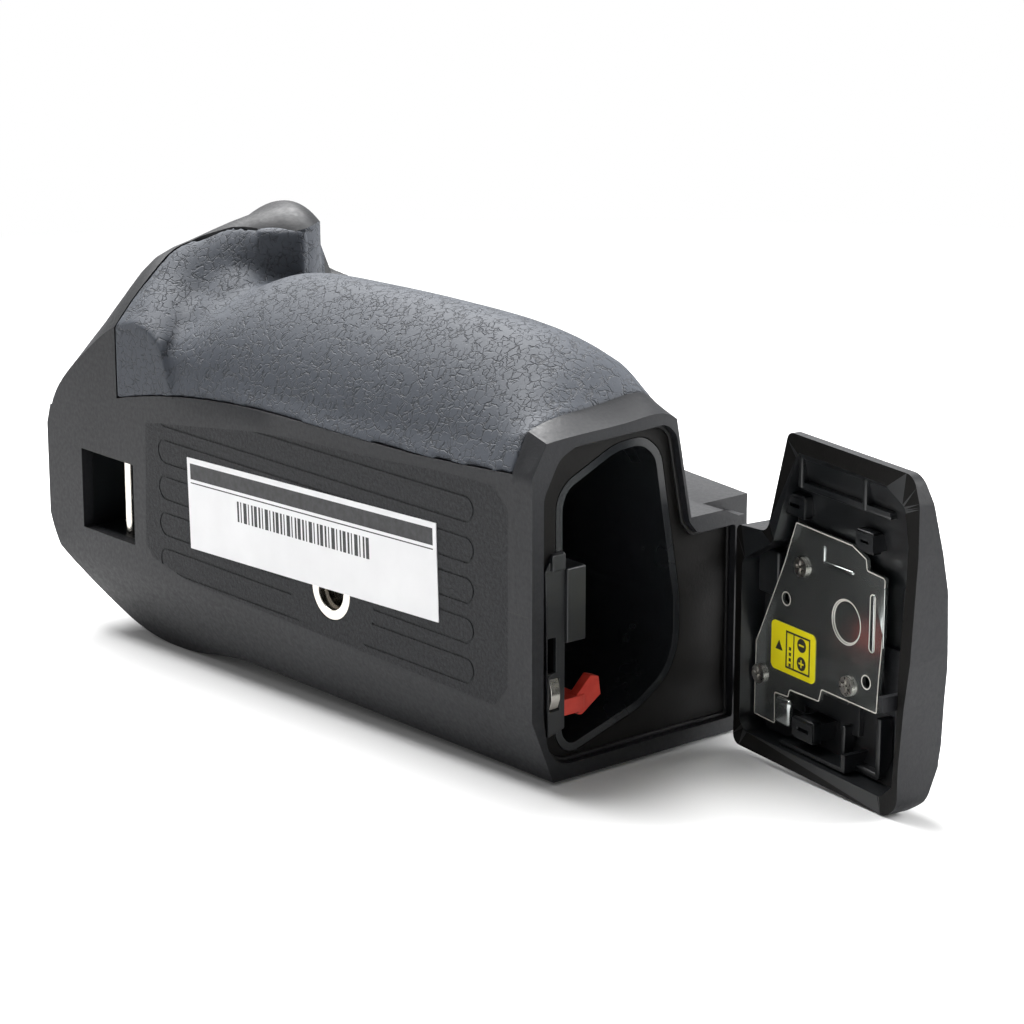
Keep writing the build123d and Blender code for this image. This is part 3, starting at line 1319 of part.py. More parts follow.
with BuildPart() as door_label:
    add(door_box(0.133 * door_length, 0.381 * door_length, -0.166 * door_top, 0.069 * door_top,
                 door_plate_height,
                 door_plate_height + label_thickness))
save(door_label.part, "door_label")

# Sliding door latch: knob outside, stem through the skin, plate inside with the hook at its far end
with BuildPart() as door_latch:
    add(door_box(latch_plate_from, hook_u, latch_plate_low, latch_plate_high, latch_floor,
                 latch_floor + latch_plate_thickness))
    add(door_box(hook_u - hook_thickness, hook_u, hook_low, hook_low + hook_width, latch_floor, hook_reach))
    add(door_box(latch_u - 0.5 * latch_stem, latch_u + 0.5 * latch_stem, latch_low + latch_stem,
                 latch_low + 3 * latch_stem, -knob_height - fit_gap, latch_floor))
    add(door_box(latch_u - 0.5 * latch_knob_width, latch_u + 0.5 * latch_knob_width, latch_low,
                 latch_low + latch_knob_length, -knob_height - latch_knob_height, -knob_height))
    with BuildSketch(door_plane(-knob_height - latch_knob_height)):
        with GridLocations(0, 0.25 * latch_knob_length, 1, 3):
            with Locations((latch_u, latch_low + 0.5 * latch_knob_length)):
                Rectangle(0.8 * latch_knob_width, 0.1 * latch_knob_length)
    extrude(amount=0.4 * latch_knob_height, mode=Mode.SUBTRACT)
save(door_latch.part, "door_latch")
# Shutter button in the pod, with the lock lever turning round it and the switch under it
well_bottom = control_seat_depth + shutter_well
button_bottom = well_bottom - switch_height - shutter_travel - glue_gap
button_edge = 0.15 * shutter_radius

with BuildPart() as shutter_button:
    with BuildSketch(deck.offset(-button_bottom)):
        Circle(shutter_radius)
    extrude(amount=button_bottom + control_seat_depth - button_edge)
    with BuildSketch(deck.offset(control_seat_depth - button_edge)):
        Circle(shutter_radius)
    extrude(amount=button_edge, taper=45)
    with BuildSketch(deck.offset(-button_bottom)):
        Circle(shutter_stem_radius)
    extrude(amount=-(switch_height + shutter_stem_length - fit_gap))
save(shutter_button.part, "shutter_button")

with BuildPart() as shutter_switch:
    with BuildSketch(deck.offset(-well_bottom)):
        Circle(0.7 * shutter_radius)
        Circle(shutter_stem_radius + fit_gap, mode=Mode.SUBTRACT)
    extrude(amount=switch_height)
save(shutter_switch.part, "shutter_switch")

with BuildPart() as lock_lever:
    with BuildSketch(deck_seat):
        Circle(control_seat_radius)
        Circle(shutter_radius + fit_gap + glue_gap, mode=Mode.SUBTRACT)
    extrude(amount=lever_ring_height)
    with BuildSketch(deck_seat.offset(lever_ring_height)):
        with Locations((0.8 * control_seat_radius, 0)):
            Rectangle(0.3 * control_seat_radius, 0.22 * control_seat_radius)
    extrude(amount=0.5 * lever_ring_height)
save(lock_lever.part, "lock_lever")

# Two finger dials on fixed shafts
dial_teeth = 28
dial_tooth = 0.4


def dial_form(plane, centre, radius):
    with BuildPart() as form:
        with BuildSketch(plane):
            with Locations(centre):
                Circle(radius)
                Circle(dial_shaft_radius + hinge_play, mode=Mode.SUBTRACT)
                with PolarLocations(radius, dial_teeth):
                    Circle(dial_tooth, mode=Mode.SUBTRACT)
        extrude(amount=dial_width)
    return form.part


front_dial_centre = (front_dial_centre_y, front_dial_centre_z)
save(dial_form(end_plane(front_dial_x - 0.5 * dial_width), front_dial_centre, dial_radius), "front_dial")
save(dial_form(base_plane(rear_dial_y + 0.5 * dial_width), rear_dial_centre, rear_dial_radius), "rear_dial")

with BuildPart() as front_dial_shaft:
    with BuildSketch(end_plane(front_dial_x - dial_width)):
        with Locations(front_dial_centre):
            Circle(dial_shaft_radius)
    extrude(amount=2 * dial_width)
save(front_dial_shaft.part, "front_dial_shaft")

with BuildPart() as rear_dial_shaft:
    with BuildSketch(base_plane(plate_bottom)):
        with Locations(rear_dial_centre):
            Circle(dial_shaft_radius)
    extrude(amount=plate_bottom - rear_dial_y + 0.5 * dial_width + fit_gap)
    with BuildSketch(base_plane(rear_dial_y - 0.5 * dial_width - fit_gap)):
        with Locations(rear_dial_centre):
            Circle(1.8 * dial_shaft_radius)
    extrude(amount=0.6 * dial_shaft_radius)
save(rear_dial_shaft.part, "rear_dial_shaft")

# Rear controls on the flat behind the thumb bulge: two buttons and a tilting stick on one small board
flange_depth = 3.4
flange_height = 0.6
dome_height = 0.6
dome_radius = 1.6
board_mid = 0.5 * (af_y + small_y)
board_length = 0.495 * base_to_camera

with BuildPart() as control_board:
    with BuildSketch(bevel.offset(-board_depth)):
        with Locations((board_mid, 0)):
            Rectangle(board_length, 1.05 * flat_width)
        with Locations(*control_posts):
            Circle(control_screw_radius, mode=Mode.SUBTRACT)
    extrude(amount=-board_thickness)
save(control_board.part, "control_board")

inward_bevel = Plane(origin=bevel.origin, x_dir=bevel.x_dir, z_dir=-bevel.z_dir)
control_screw_spots = [(y, -v) for y, v in control_posts]
control_screws = screw_at(inward_bevel.offset(board_depth + board_thickness), control_screw_spots,
                          control_screw_radius, 2 * board_thickness, 2 * control_screw_radius,
                          control_screw_radius)
save(control_screws, "control_screws")

with BuildPart() as button_switches:
    with BuildSketch(bevel.offset(-board_depth)):
        with Locations((af_y, 0), (small_y, 0)):
            Circle(dome_radius)
    extrude(amount=dome_height)
save(button_switches.part, "button_switches")


def button_form(y, radius):
    with BuildPart() as form:
        with BuildSketch(bevel.offset(button_proud)):
            with Locations((y, 0)):
                Circle(radius)
        extrude(amount=-(button_proud + flange_depth))
        with BuildSketch(bevel.offset(-flange_depth)):
            with Locations((y, 0)):
                Circle(radius + 0.2 * button_radius)
        extrude(amount=-flange_height)
        with BuildSketch(bevel.offset(-flange_depth)):
            with Locations((y, 0)):
                Circle(0.8 * dome_radius)
        extrude(amount=-(board_depth - dome_height - flange_depth - button_travel - glue_gap))
    return form.part


save(button_form(af_y, button_radius), "af_button")
save(button_form(small_y, small_button_radius), "custom_button")

tilt_depth = 4.2
trunnion_radius = 0.5
ring_long = 5.2
ring_wide = 4.6
ring_open_long = 3.6
ring_open_wide = 3.0
ring_height = 1.6
lug_from = 3.0
lug_thickness = 0.8
lug_width = 2.6
lug_top = 3.2
stick_plate = 0.6


def across_plane(v):
    origin = bevel.origin + bevel.y_dir * v - bevel.z_dir * tilt_depth
    return Plane(origin=origin, x_dir=bevel.x_dir, z_dir=bevel.y_dir)


def along_plane(y):
    origin = bevel.origin + bevel.x_dir * y - bevel.z_dir * tilt_depth
    return Plane(origin=origin, x_dir=bevel.y_dir, z_dir=bevel.x_dir)


with BuildPart() as joystick_base:
    with BuildSketch(bevel.offset(-board_depth)):
        with Locations((stick_y, 0)):
            Rectangle(2 * (lug_from + lug_thickness), 2 * lug_width)
    extrude(amount=stick_plate)
    with BuildSketch(bevel.offset(-board_depth)):
        with Locations(*[(stick_y + side * (lug_from + 0.5 * lug_thickness), 0) for side in (-1, 1)]):
            Rectangle(lug_thickness, lug_width)
    extrude(amount=board_depth - lug_top)
    with BuildSketch(along_plane(stick_y - 2 * lug_from)):
        Circle(trunnion_radius + hinge_play)
    extrude(amount=4 * lug_from, mode=Mode.SUBTRACT)
save(joystick_base.part, "joystick_base")

with BuildPart() as joystick_gimbal:
    with BuildSketch(bevel.offset(-tilt_depth - 0.5 * ring_height)):
        with Locations((stick_y, 0)):
            Rectangle(ring_long, ring_wide)
    extrude(amount=ring_height)
    with BuildSketch(along_plane(stick_y - lug_from - 0.8 * lug_thickness)):
        Circle(trunnion_radius)
    extrude(amount=2 * lug_from + 1.6 * lug_thickness)
    with BuildSketch(bevel.offset(-tilt_depth - ring_height)):
        with Locations((stick_y, 0)):
            Rectangle(ring_open_long, ring_open_wide)
    extrude(amount=2 * ring_height, mode=Mode.SUBTRACT)
    with BuildSketch(across_plane(-ring_wide)):
        with Locations((stick_y, 0)):
            Circle(trunnion_radius + hinge_play)
    extrude(amount=2 * ring_wide, mode=Mode.SUBTRACT)
save(joystick_gimbal.part, "joystick_gimbal")

with BuildPart() as joystick_cap:
    with BuildSketch(bevel.offset(-tilt_depth - 1.4 * trunnion_radius)):
        with Locations((stick_y, 0)):
            Circle(1.8 * trunnion_radius)
    extrude(amount=tilt_depth + 1.4 * trunnion_radius + button_proud)
    with BuildSketch(across_plane(-0.48 * ring_wide)):
        with Locations((stick_y, 0)):
            Circle(trunnion_radius)
    extrude(amount=0.96 * ring_wide)
    with BuildSketch(bevel.offset(button_proud)):
        with Locations((stick_y, 0)):
            Circle(stick_cap_radius)
    extrude(amount=0.4 * stick_cap_radius)
    with BuildSketch(bevel.offset(button_proud + 0.4 * stick_cap_radius)):
        with Locations((stick_y, 0)):
            Circle(stick_cap_radius)
    extrude(amount=0.2 * stick_cap_radius, taper=45)
save(joystick_cap.part, "joystick_cap")
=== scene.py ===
"""A camera battery grip lying on its back with its battery door open.

Every node of the model is shown, as it is or through a copy that stands for it. Most of what the
photograph shows is such a copy, with eased edges. The label, the door sticker, the socket's thread,
the plate's beads and the ribs of the door's lining are made here. In two places, told below, this
file hides a fault of the solids. Lengths are in millimetres and turned to metres by mm().
"""
import json
import math

import bpy
from mathutils import Matrix, Vector, geometry

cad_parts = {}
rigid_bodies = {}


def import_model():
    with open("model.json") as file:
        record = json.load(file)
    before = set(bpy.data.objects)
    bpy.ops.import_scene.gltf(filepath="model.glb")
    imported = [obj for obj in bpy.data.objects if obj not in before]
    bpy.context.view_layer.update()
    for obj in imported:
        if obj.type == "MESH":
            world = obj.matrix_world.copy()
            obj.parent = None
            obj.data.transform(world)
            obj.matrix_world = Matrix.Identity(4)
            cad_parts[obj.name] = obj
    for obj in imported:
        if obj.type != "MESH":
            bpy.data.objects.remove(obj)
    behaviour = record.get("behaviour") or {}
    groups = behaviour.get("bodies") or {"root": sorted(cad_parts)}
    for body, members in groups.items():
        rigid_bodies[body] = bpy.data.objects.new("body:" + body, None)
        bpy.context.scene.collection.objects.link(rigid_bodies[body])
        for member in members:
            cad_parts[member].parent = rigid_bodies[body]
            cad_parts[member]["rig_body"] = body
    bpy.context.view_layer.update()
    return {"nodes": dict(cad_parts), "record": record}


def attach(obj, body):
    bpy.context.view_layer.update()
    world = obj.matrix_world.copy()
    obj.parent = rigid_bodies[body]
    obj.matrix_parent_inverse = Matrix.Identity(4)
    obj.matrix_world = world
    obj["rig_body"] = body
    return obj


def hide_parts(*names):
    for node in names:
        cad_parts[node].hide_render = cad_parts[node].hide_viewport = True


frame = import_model()
nodes = frame["nodes"]
body_of_node = {name: node["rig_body"] for name, node in nodes.items()}


# Lengths and colours

def mm(*lengths):
    """Millimetres to metres: one number, or a point."""
    if len(lengths) == 1:
        return lengths[0] * 0.001
    return Vector(lengths) * 0.001


def shade(code):
    """An sRGB hex colour as the linear RGBA that the shaders take."""
    parts = [int(code[i:i + 2], 16) / 255 for i in (1, 3, 5)]
    linear = [c / 12.92 if c <= 0.04045 else ((c + 0.055) / 1.055) ** 2.4 for c in parts]
    return (*linear, 1.0)


def per(size):
    """The texture scale whose features are size millimetres apart."""
    return 1000.0 / size


# The camera stands at the grip's battery end, a little above it, looking back along the base

camera_data = bpy.data.cameras.new("camera")
camera_data.lens = 113.34
camera_data.sensor_width = 36.0
camera_data.clip_start = 0.01
camera_data.clip_end = 20.0
camera = bpy.data.objects.new("camera", camera_data)
camera.location = mm(384.4, -290.1, 143.2)
camera.rotation_euler = (math.radians(90 - 15.2), 0, math.radians(49.6))
bpy.context.scene.collection.objects.link(camera)
bpy.context.scene.camera = camera


# Materials

def add_node(finish, kind, settings=None, links=None):
    """Adds one shader node to a material or world, with its values and the sockets that feed it."""
    node = finish.node_tree.nodes.new(kind)
    for name, value in (settings or {}).items():
        if isinstance(name, int) or name in node.inputs:
            node.inputs[name].default_value = value
        else:
            setattr(node, name, value)
    for name, source in (links or {}).items():
        finish.node_tree.links.new(source, node.inputs[name])
    return node


def new_finish(name, colour, roughness, metallic=0.0, ior=1.5, specular=0.5):
    """A material with its principled shader, colour and gloss."""
    finish = bpy.data.materials.new(name)
    finish.use_nodes = True
    shader = finish.node_tree.nodes["Principled BSDF"]
    shader.inputs["Base Color"].default_value = shade(colour)
    shader.inputs["Roughness"].default_value = roughness
    shader.inputs["Metallic"].default_value = metallic
    shader.inputs["Specular IOR Level"].default_value = specular
    if not metallic:
        shader.inputs["IOR"].default_value = ior
    return finish, shader


def ramp(finish, source, low, high, to_low=0.0, to_high=1.0):
    """Stretches a value from low..high to another range, clamped."""
    return add_node(finish, "ShaderNodeMapRange",
                    {"From Min": low, "From Max": high, "To Min": to_low, "To Max": to_high},
                    {"Value": source}).outputs["Result"]


def place(finish):
    """The piece's own place in the object, which the patterns follow."""
    return add_node(finish, "ShaderNodeTexCoord").outputs["Object"]


def grain(finish, where, size, detail=2.0, roughness=0.5):
    """A noise pattern with features of about size millimetres."""
    return add_node(finish, "ShaderNodeTexNoise",
                    {"Scale": per(size), "Detail": detail, "Roughness": roughness},
                    {"Vector": where}).outputs["Fac"]


def two_tone(finish, shader, factor, dark, light):
    """Colour that drifts between two close tones."""
    tone = add_node(finish, "ShaderNodeMix", {"data_type": "RGBA"})
    tone.inputs[6].default_value = shade(dark)
    tone.inputs[7].default_value = shade(light)
    finish.node_tree.links.new(factor, tone.inputs[0])
    finish.node_tree.links.new(tone.outputs[2], shader.inputs["Base Color"])
    return tone


def raise_bump(finish, shader, height, depth, strength=1.0, under=None):
    """Relief of depth millimetres from a height pattern."""
    links = {"Height": height}
    if under is not None:
        links["Normal"] = under
    relief = add_node(finish, "ShaderNodeBump", {"Strength": strength, "Distance": mm(depth)}, links)
    finish.node_tree.links.new(relief.outputs["Normal"], shader.inputs["Normal"])
    return relief.outputs["Normal"]


def moulded_shell():
    """Glass-filled polycarbonate from a spark-eroded mould: charcoal, matt, with a fine even tooth."""
    finish, shader = new_finish("moulded_polycarbonate", "#1c1d1f", 0.52, specular=0.32)
    where = place(finish)
    tooth = grain(finish, where, 0.45, 3.0, 0.6)
    two_tone(finish, shader, ramp(finish, grain(finish, where, 14.0), 0.3, 0.7), "#16171a", "#1b1c1f")
    raise_bump(finish, shader, tooth, 0.05, 0.55)
    gloss = ramp(finish, grain(finish, where, 0.7), 0.3, 0.7, 0.46, 0.6)
    finish.node_tree.links.new(gloss, shader.inputs["Roughness"])
    return finish


def leather_rubber():
    """Moulded elastomer skin with a leather grain: short broken wrinkles about a millimetre apart, whose
    creases are painted darker as shade.
    """
    finish, shader = new_finish("leather_grained_rubber", "#3a3d42", 0.64, specular=0.35)
    where = place(finish)
    wander = add_node(finish, "ShaderNodeTexNoise", {"Scale": per(1.3), "Detail": 2.0},
                      {"Vector": where}).outputs["Color"]
    pushed = add_node(finish, "ShaderNodeVectorMath", {"operation": "MULTIPLY_ADD", 1: mm(1.1, 1.1, 1.1)},
                      {0: wander, 2: where}).outputs[0]
    nets = []
    for size, width in ((1.9, 0.075), (1.25, 0.06)):
        net = add_node(finish, "ShaderNodeTexVoronoi", {"feature": "DISTANCE_TO_EDGE"}, {"Vector": pushed})
        net.inputs["Scale"].default_value = per(size)
        nets.append(ramp(finish, net.outputs["Distance"], 0.0, width))
    broken = [ramp(finish, grain(finish, where, size, 1.0), low, high)
              for size, low, high in ((1.5, 0.44, 0.54), (1.9, 0.48, 0.6))]
    lines = [add_node(finish, "ShaderNodeMix", {"data_type": "FLOAT", 3: 1.0}, {0: gap, 2: net}).outputs[0]
             for gap, net in zip(broken, nets)]
    wrinkles = add_node(finish, "ShaderNodeMath", {"operation": "MINIMUM"},
                        {0: lines[0], 1: lines[1]}).outputs[0]
    wrinkled = raise_bump(finish, shader, wrinkles, 0.14, 0.8)
    raise_bump(finish, shader, grain(finish, where, 0.5, 3.0, 0.6), 0.06, 0.5, wrinkled)
    # Painted shade: the colour takes the darker tone in the wrinkles' creases.
    two_tone(finish, shader, ramp(finish, wrinkles, 0.0, 0.9), "#25282d", "#3b3f46")
    return finish


def pad_rubber():
    """Thin moulded elastomer pad with an eroded texture, darker and drier than the shell."""
    finish, shader = new_finish("base_pad_rubber", "#2c2d2f", 0.7, specular=0.35)
    where = place(finish)
    tooth = grain(finish, where, 0.6, 3.0, 0.65)
    # Painted shade: the colour follows the same pattern as the relief, so its pits are darker.
    two_tone(finish, shader, ramp(finish, tooth, 0.38, 0.68), "#141517", "#27282b")
    raise_bump(finish, shader, tooth, 0.16, 1.0)
    return finish


def satin_inner_plastic():
    """Black ABS from a polished mould, satin, as the liners and ribs are."""
    finish, shader = new_finish("satin_black_abs", "#131517", 0.34, specular=0.6)
    where = place(finish)
    gloss = ramp(finish, grain(finish, where, 5.0, 3.0), 0.3, 0.7, 0.28, 0.4)
    finish.node_tree.links.new(gloss, shader.inputs["Roughness"])
    raise_bump(finish, shader, grain(finish, where, 0.6), 0.02, 0.3)
    return finish


def seat_plastic():
    """Matt black ABS of the door seat, with a faint brown cast and a fine tooth."""
    finish, shader = new_finish("matt_black_abs", "#0b0a09", 0.5, specular=0.15)
    where = place(finish)
    raise_bump(finish, shader, grain(finish, where, 0.4, 3.0), 0.04, 0.5)
    gloss = ramp(finish, grain(finish, where, 9.0, 2.0), 0.3, 0.7, 0.44, 0.58)
    finish.node_tree.links.new(gloss, shader.inputs["Roughness"])
    return finish


def gloss_black_plastic():
    """Polished black polycarbonate, which mirrors a little, as in the battery chamber."""
    finish, shader = new_finish("polished_black_polycarbonate", "#1b1d1f", 0.2)
    where = place(finish)
    gloss = ramp(finish, grain(finish, where, 12.0, 3.0), 0.35, 0.7, 0.14, 0.3)
    finish.node_tree.links.new(gloss, shader.inputs["Roughness"])
    raise_bump(finish, shader, grain(finish, where, 7.0, 1.0), 0.03, 0.25)
    return finish


def gasket_rubber():
    """Soft black silicone band, dull, with a faint unevenness."""
    finish, shader = new_finish("gasket_silicone", "#141415", 0.62)
    raise_bump(finish, shader, grain(finish, place(finish), 1.4), 0.02, 0.4)
    return finish


def bright_steel():
    """Nickel-plated steel: bright, with a fine grain."""
    finish, shader = new_finish("nickel_plated_steel", "#d8d3cb", 0.16, metallic=1.0)
    where = place(finish)
    gloss = ramp(finish, grain(finish, where, 0.9, 3.0), 0.3, 0.7, 0.1, 0.26)
    finish.node_tree.links.new(gloss, shader.inputs["Roughness"])
    raise_bump(finish, shader, grain(finish, where, 0.35), 0.006, 0.3)
    return finish


def pressed_steel():
    """Rolled stainless sheet, pressed: nearly a mirror, a little hazier in places from handling."""
    finish, shader = new_finish("rolled_stainless_sheet", "#b4b8b6", 0.15, metallic=0.92)
    where = place(finish)
    gloss = ramp(finish, grain(finish, where, 7.0, 2.0), 0.3, 0.7, 0.12, 0.2)
    finish.node_tree.links.new(gloss, shader.inputs["Roughness"])
    return finish


def sheared_edge_painted_highlight():
    """The sheared edge of the stainless sheet: rough, with a pale, mostly diffuse colour that is a painted
    highlight, bright from every side.
    """
    finish, shader = new_finish("sheared_stainless_edge_painted_highlight", "#d8d4cc", 0.5, metallic=0.25)
    where = place(finish)
    raise_bump(finish, shader, grain(finish, where, 0.3, 2.0), 0.01, 0.3)
    return finish


def screw_steel():
    """Zinc-plated screw steel, satin, with a fine grain."""
    finish, shader = new_finish("zinc_plated_screw", "#b9b6b0", 0.3, metallic=1.0)
    where = place(finish)
    gloss = ramp(finish, grain(finish, where, 0.5, 3.0), 0.3, 0.7, 0.2, 0.42)
    finish.node_tree.links.new(gloss, shader.inputs["Roughness"])
    raise_bump(finish, shader, grain(finish, where, 0.3), 0.008, 0.4)
    return finish


def painted_hinge():
    """Cast hinge arms with black enamel, slightly dimpled."""
    finish, shader = new_finish("black_enamelled_hinge", "#222325", 0.42)
    where = place(finish)
    raise_bump(finish, shader, grain(finish, where, 0.8, 2.0), 0.03, 0.5)
    two_tone(finish, shader, ramp(finish, grain(finish, where, 5.0), 0.3, 0.7), "#1f2021", "#27282a")
    return finish


def contact_gold():
    """Gold-flashed phosphor bronze contacts."""
    finish, shader = new_finish("gold_flashed_bronze", "#e6c274", 0.2, metallic=1.0)
    where = place(finish)
    gloss = ramp(finish, grain(finish, where, 0.8, 2.0), 0.3, 0.7, 0.14, 0.3)
    finish.node_tree.links.new(gloss, shader.inputs["Roughness"])
    return finish


def red_latch_plastic():
    """Red acetal, satin, in two close tones."""
    finish, shader = new_finish("red_acetal", "#c23a2c", 0.34)
    where = place(finish)
    two_tone(finish, shader, ramp(finish, grain(finish, where, 2.5), 0.3, 0.7), "#b93427", "#cb4133")
    raise_bump(finish, shader, grain(finish, where, 0.5), 0.02, 0.3)
    return finish


def coated_paper():
    """White coated label paper, faintly uneven."""
    finish, shader = new_finish("white_label_paper", "#f0f0f1", 0.5)
    where = place(finish)
    two_tone(finish, shader, ramp(finish, grain(finish, where, 9.0, 3.0), 0.3, 0.7), "#dfdfe0", "#e6e6e7")
    raise_bump(finish, shader, grain(finish, where, 1.8, 2.0), 0.02, 0.5)
    return finish


def label_ink():
    """Print on the label: near black, a touch greyer in places."""
    finish, shader = new_finish("label_print", "#1e1e20", 0.55)
    where = place(finish)
    two_tone(finish, shader, ramp(finish, grain(finish, where, 1.1, 3.0), 0.35, 0.75), "#1b1b1d", "#343437")
    return finish


def yellow_film():
    """Yellow polyester sticker with a satin face."""
    finish, shader = new_finish("yellow_polyester_film", "#f1e11d", 0.34)
    where = place(finish)
    two_tone(finish, shader, ramp(finish, grain(finish, where, 4.0), 0.3, 0.7), "#ecdb17", "#f5e723")
    raise_bump(finish, shader, grain(finish, where, 2.0), 0.01, 0.3)
    return finish


def lacquered_board():
    """Green solder mask over glass-fibre board."""
    finish, shader = new_finish("solder_masked_board", "#0f5a2c", 0.3)
    where = place(finish)
    two_tone(finish, shader, ramp(finish, grain(finish, where, 1.5, 2.0), 0.45, 0.55), "#0d5127", "#146634")
    return finish


def amber_film():
    """Polyimide ribbon, amber and slightly glossy."""
    finish, shader = new_finish("polyimide_film", "#b5701f", 0.3)
    where = place(finish)
    two_tone(finish, shader, ramp(finish, grain(finish, where, 2.0, 2.0), 0.4, 0.6), "#a8661b", "#c07a26")
    return finish


def switch_rubber():
    """Grey silicone domes of the key switches."""
    finish, shader = new_finish("grey_silicone", "#7c7d7e", 0.55)
    raise_bump(finish, shader, grain(finish, place(finish), 0.8), 0.02, 0.4)
    return finish


shell = moulded_shell()
leather = leather_rubber()
pad_skin = pad_rubber()
inner = satin_inner_plastic()
seat = seat_plastic()
gloss = gloss_black_plastic()
gasket = gasket_rubber()
nickel = bright_steel()
sheet_steel = pressed_steel()
zinc = screw_steel()
hinge_paint = painted_hinge()
gold = contact_gold()
red = red_latch_plastic()
paper = coated_paper()
ink = label_ink()
yellow = yellow_film()
board = lacquered_board()
amber = amber_film()
silicone = switch_rubber()
edge_painted_highlight = sheared_edge_painted_highlight()

finish_of_slot = {
    "shell_plastic": shell, "grip_rubber": leather, "pad_rubber": pad_skin, "inner_plastic": inner,
    "gloss_black": gloss, "bright_steel": nickel, "plate_steel": sheet_steel, "screw_steel": zinc,
    "hinge_metal": hinge_paint, "contact_gold": gold, "latch_red": red, "label_white": paper,
    "label_yellow": yellow, "board_green": board, "ribbon_amber": amber, "switch_grey": silicone,
}
slot_of_node = {part["node"]: part["material_slot"] for part in frame["record"]["subparts"]}
own_finish = {"chamber_bezel": seat, "door_seal": gasket, "strap_pocket": inner, "camera_connector": inner}


def finish_of(name):
    """The finish of a node: its own where it has one, else its slot's."""
    return own_finish.get(name, finish_of_slot[slot_of_node[name]])


for name, node in nodes.items():
    if not node.material_slots:
        node.data.materials.append(finish_of(name))
    for held in node.material_slots:
        held.material = finish_of(name)


# Making pieces

def only(piece):
    """Selects one piece alone and makes it the active one."""
    bpy.ops.object.select_all(action="DESELECT")
    piece.select_set(True)
    bpy.context.view_layer.objects.active = piece


def settle(piece):
    """Puts the piece's place in its mesh, so that its object sits at the origin."""
    only(piece)
    bpy.ops.object.transform_apply(location=True, rotation=True, scale=True)


def apply_all(piece):
    """Applies every modifier of a piece, in order."""
    only(piece)
    for step in list(piece.modifiers):
        bpy.ops.object.modifier_apply(modifier=step.name)


def carry(piece, body, finish=None):
    """Gives the piece its body and its finish."""
    if finish is not None:
        piece.data.materials.clear()
        piece.data.materials.append(finish)
    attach(piece, body)
    return piece


def copy_of(name, new_name):
    """A merged copy of a solid's mesh, with its flat faces whole again."""
    piece = bpy.data.objects.new(new_name, nodes[name].data.copy())
    bpy.context.scene.collection.objects.link(piece)
    only(piece)
    bpy.ops.object.mode_set(mode="EDIT")
    bpy.ops.mesh.select_all(action="SELECT")
    bpy.ops.mesh.remove_doubles(threshold=mm(0.002))
    bpy.ops.object.mode_set(mode="OBJECT")
    bpy.ops.mesh.customdata_custom_splitnormals_clear()
    return piece


def dressed(name, new_name, edge=0.25, smooth=30):
    """A copy of a solid with its sharp edges eased by edge millimetres, which stands for the solid."""
    piece = copy_of(name, new_name)
    only(piece)
    bpy.ops.object.shade_smooth_by_angle(angle=math.radians(smooth))
    if edge:
        ease = piece.modifiers.new("eased_edges", "BEVEL")
        ease.width = mm(edge)
        ease.segments = 2
        ease.limit_method = "ANGLE"
        ease.angle_limit = math.radians(smooth)
        ease.use_clamp_overlap = True
        ease.harden_normals = True
        apply_all(piece)
    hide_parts(name)
    return carry(piece, body_of_node[name], finish_of(name))


# The leather-grained rubber, remeshed so that its forms run smoothly over the grip and the scoop

def gap_to_line(point, low, high):
    """How far a point lies from the line between two others, in millimetres."""
    foot, share_along = geometry.intersect_point_line(point, low, high)
    if 0 < share_along < 1:
        return (point - foot).length * 1000
    return min((point - low).length, (point - high).length) * 1000


# Three balls fill the valley between the hook and the grip
fillers = []
for x, y, z, radius in ((-44.0, 11.0, 27.5, 8.0), (-45.0, 13.5, 31.0, 8.0), (-45.5, 17.5, 34.5, 8.0)):
    bpy.ops.object.select_all(action="DESELECT")
    bpy.ops.mesh.primitive_uv_sphere_add(segments=32, ring_count=16, radius=mm(radius), location=mm(x, y, z))
    fillers.append(bpy.context.object)
# A turned block carries the skin on over the pod's tip
bpy.ops.object.select_all(action="DESELECT")
bpy.ops.mesh.primitive_cube_add(size=1.0, location=mm(-40.5, 21.7, 43.0), rotation=(0, 0, math.radians(45)))
tip_skin = bpy.context.object
tip_skin.scale = mm(8.8, 3.0, 12.4)
settle(tip_skin)
fillers.append(tip_skin)
rubber_skin = copy_of("front_grip_rubber", "rubber_skin")
for filler in fillers:
    filler.select_set(True)
bpy.ops.object.join()
remesh = rubber_skin.modifiers.new("skin", "REMESH")
remesh.mode = "VOXEL"
remesh.voxel_size = mm(0.42)
relax = rubber_skin.modifiers.new("relax", "SMOOTH")
relax.factor = 0.5
relax.iterations = 10
apply_all(rubber_skin)
# The valley between the hook's rim and the grip is smoothed into one soft hollow, and the rim is left
rim = [mm(*at) for at in ((-42, 1, 29.5), (-47, 0.5, 32), (-51.5, 2.5, 35.5), (-55, 6, 38.5),
                          (-56, 10, 42), (-50, 17, 46.5), (-45, 20, 48.5), (-38, 23, 50))]
tip_weight = 0.55
valley = rubber_skin.vertex_groups.new(name="valley")
for spot in rubber_skin.data.vertices:
    x, y, z = spot.co * 1000
    if x > -45.0 and 15.0 < y < 26.0 and z > 37.0:
        valley.add([spot.index], tip_weight, "REPLACE")
        continue
    if not (-56.0 < x < -34.0 and y > 1.0 and z > 26.0):
        continue
    nearest = min(gap_to_line(spot.co, low, high) for low, high in zip(rim, rim[1:]))
    weight = min(max((nearest - 1.5) / 3.0, 0.0), 1.0) * min(max((-34.0 - x) / 5.0, 0.0), 1.0)
    weight *= min(max((27.0 - y) / 4.0, 0.0), 1.0)
    if weight > 0:
        valley.add([spot.index], weight, "REPLACE")
soften = rubber_skin.modifiers.new("soften", "SMOOTH")
soften.factor = 0.5
soften.iterations = 160
soften.vertex_group = "valley"
apply_all(rubber_skin)
bpy.ops.object.shade_smooth()
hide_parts("front_grip_rubber")
carry(rubber_skin, "grip", leather)

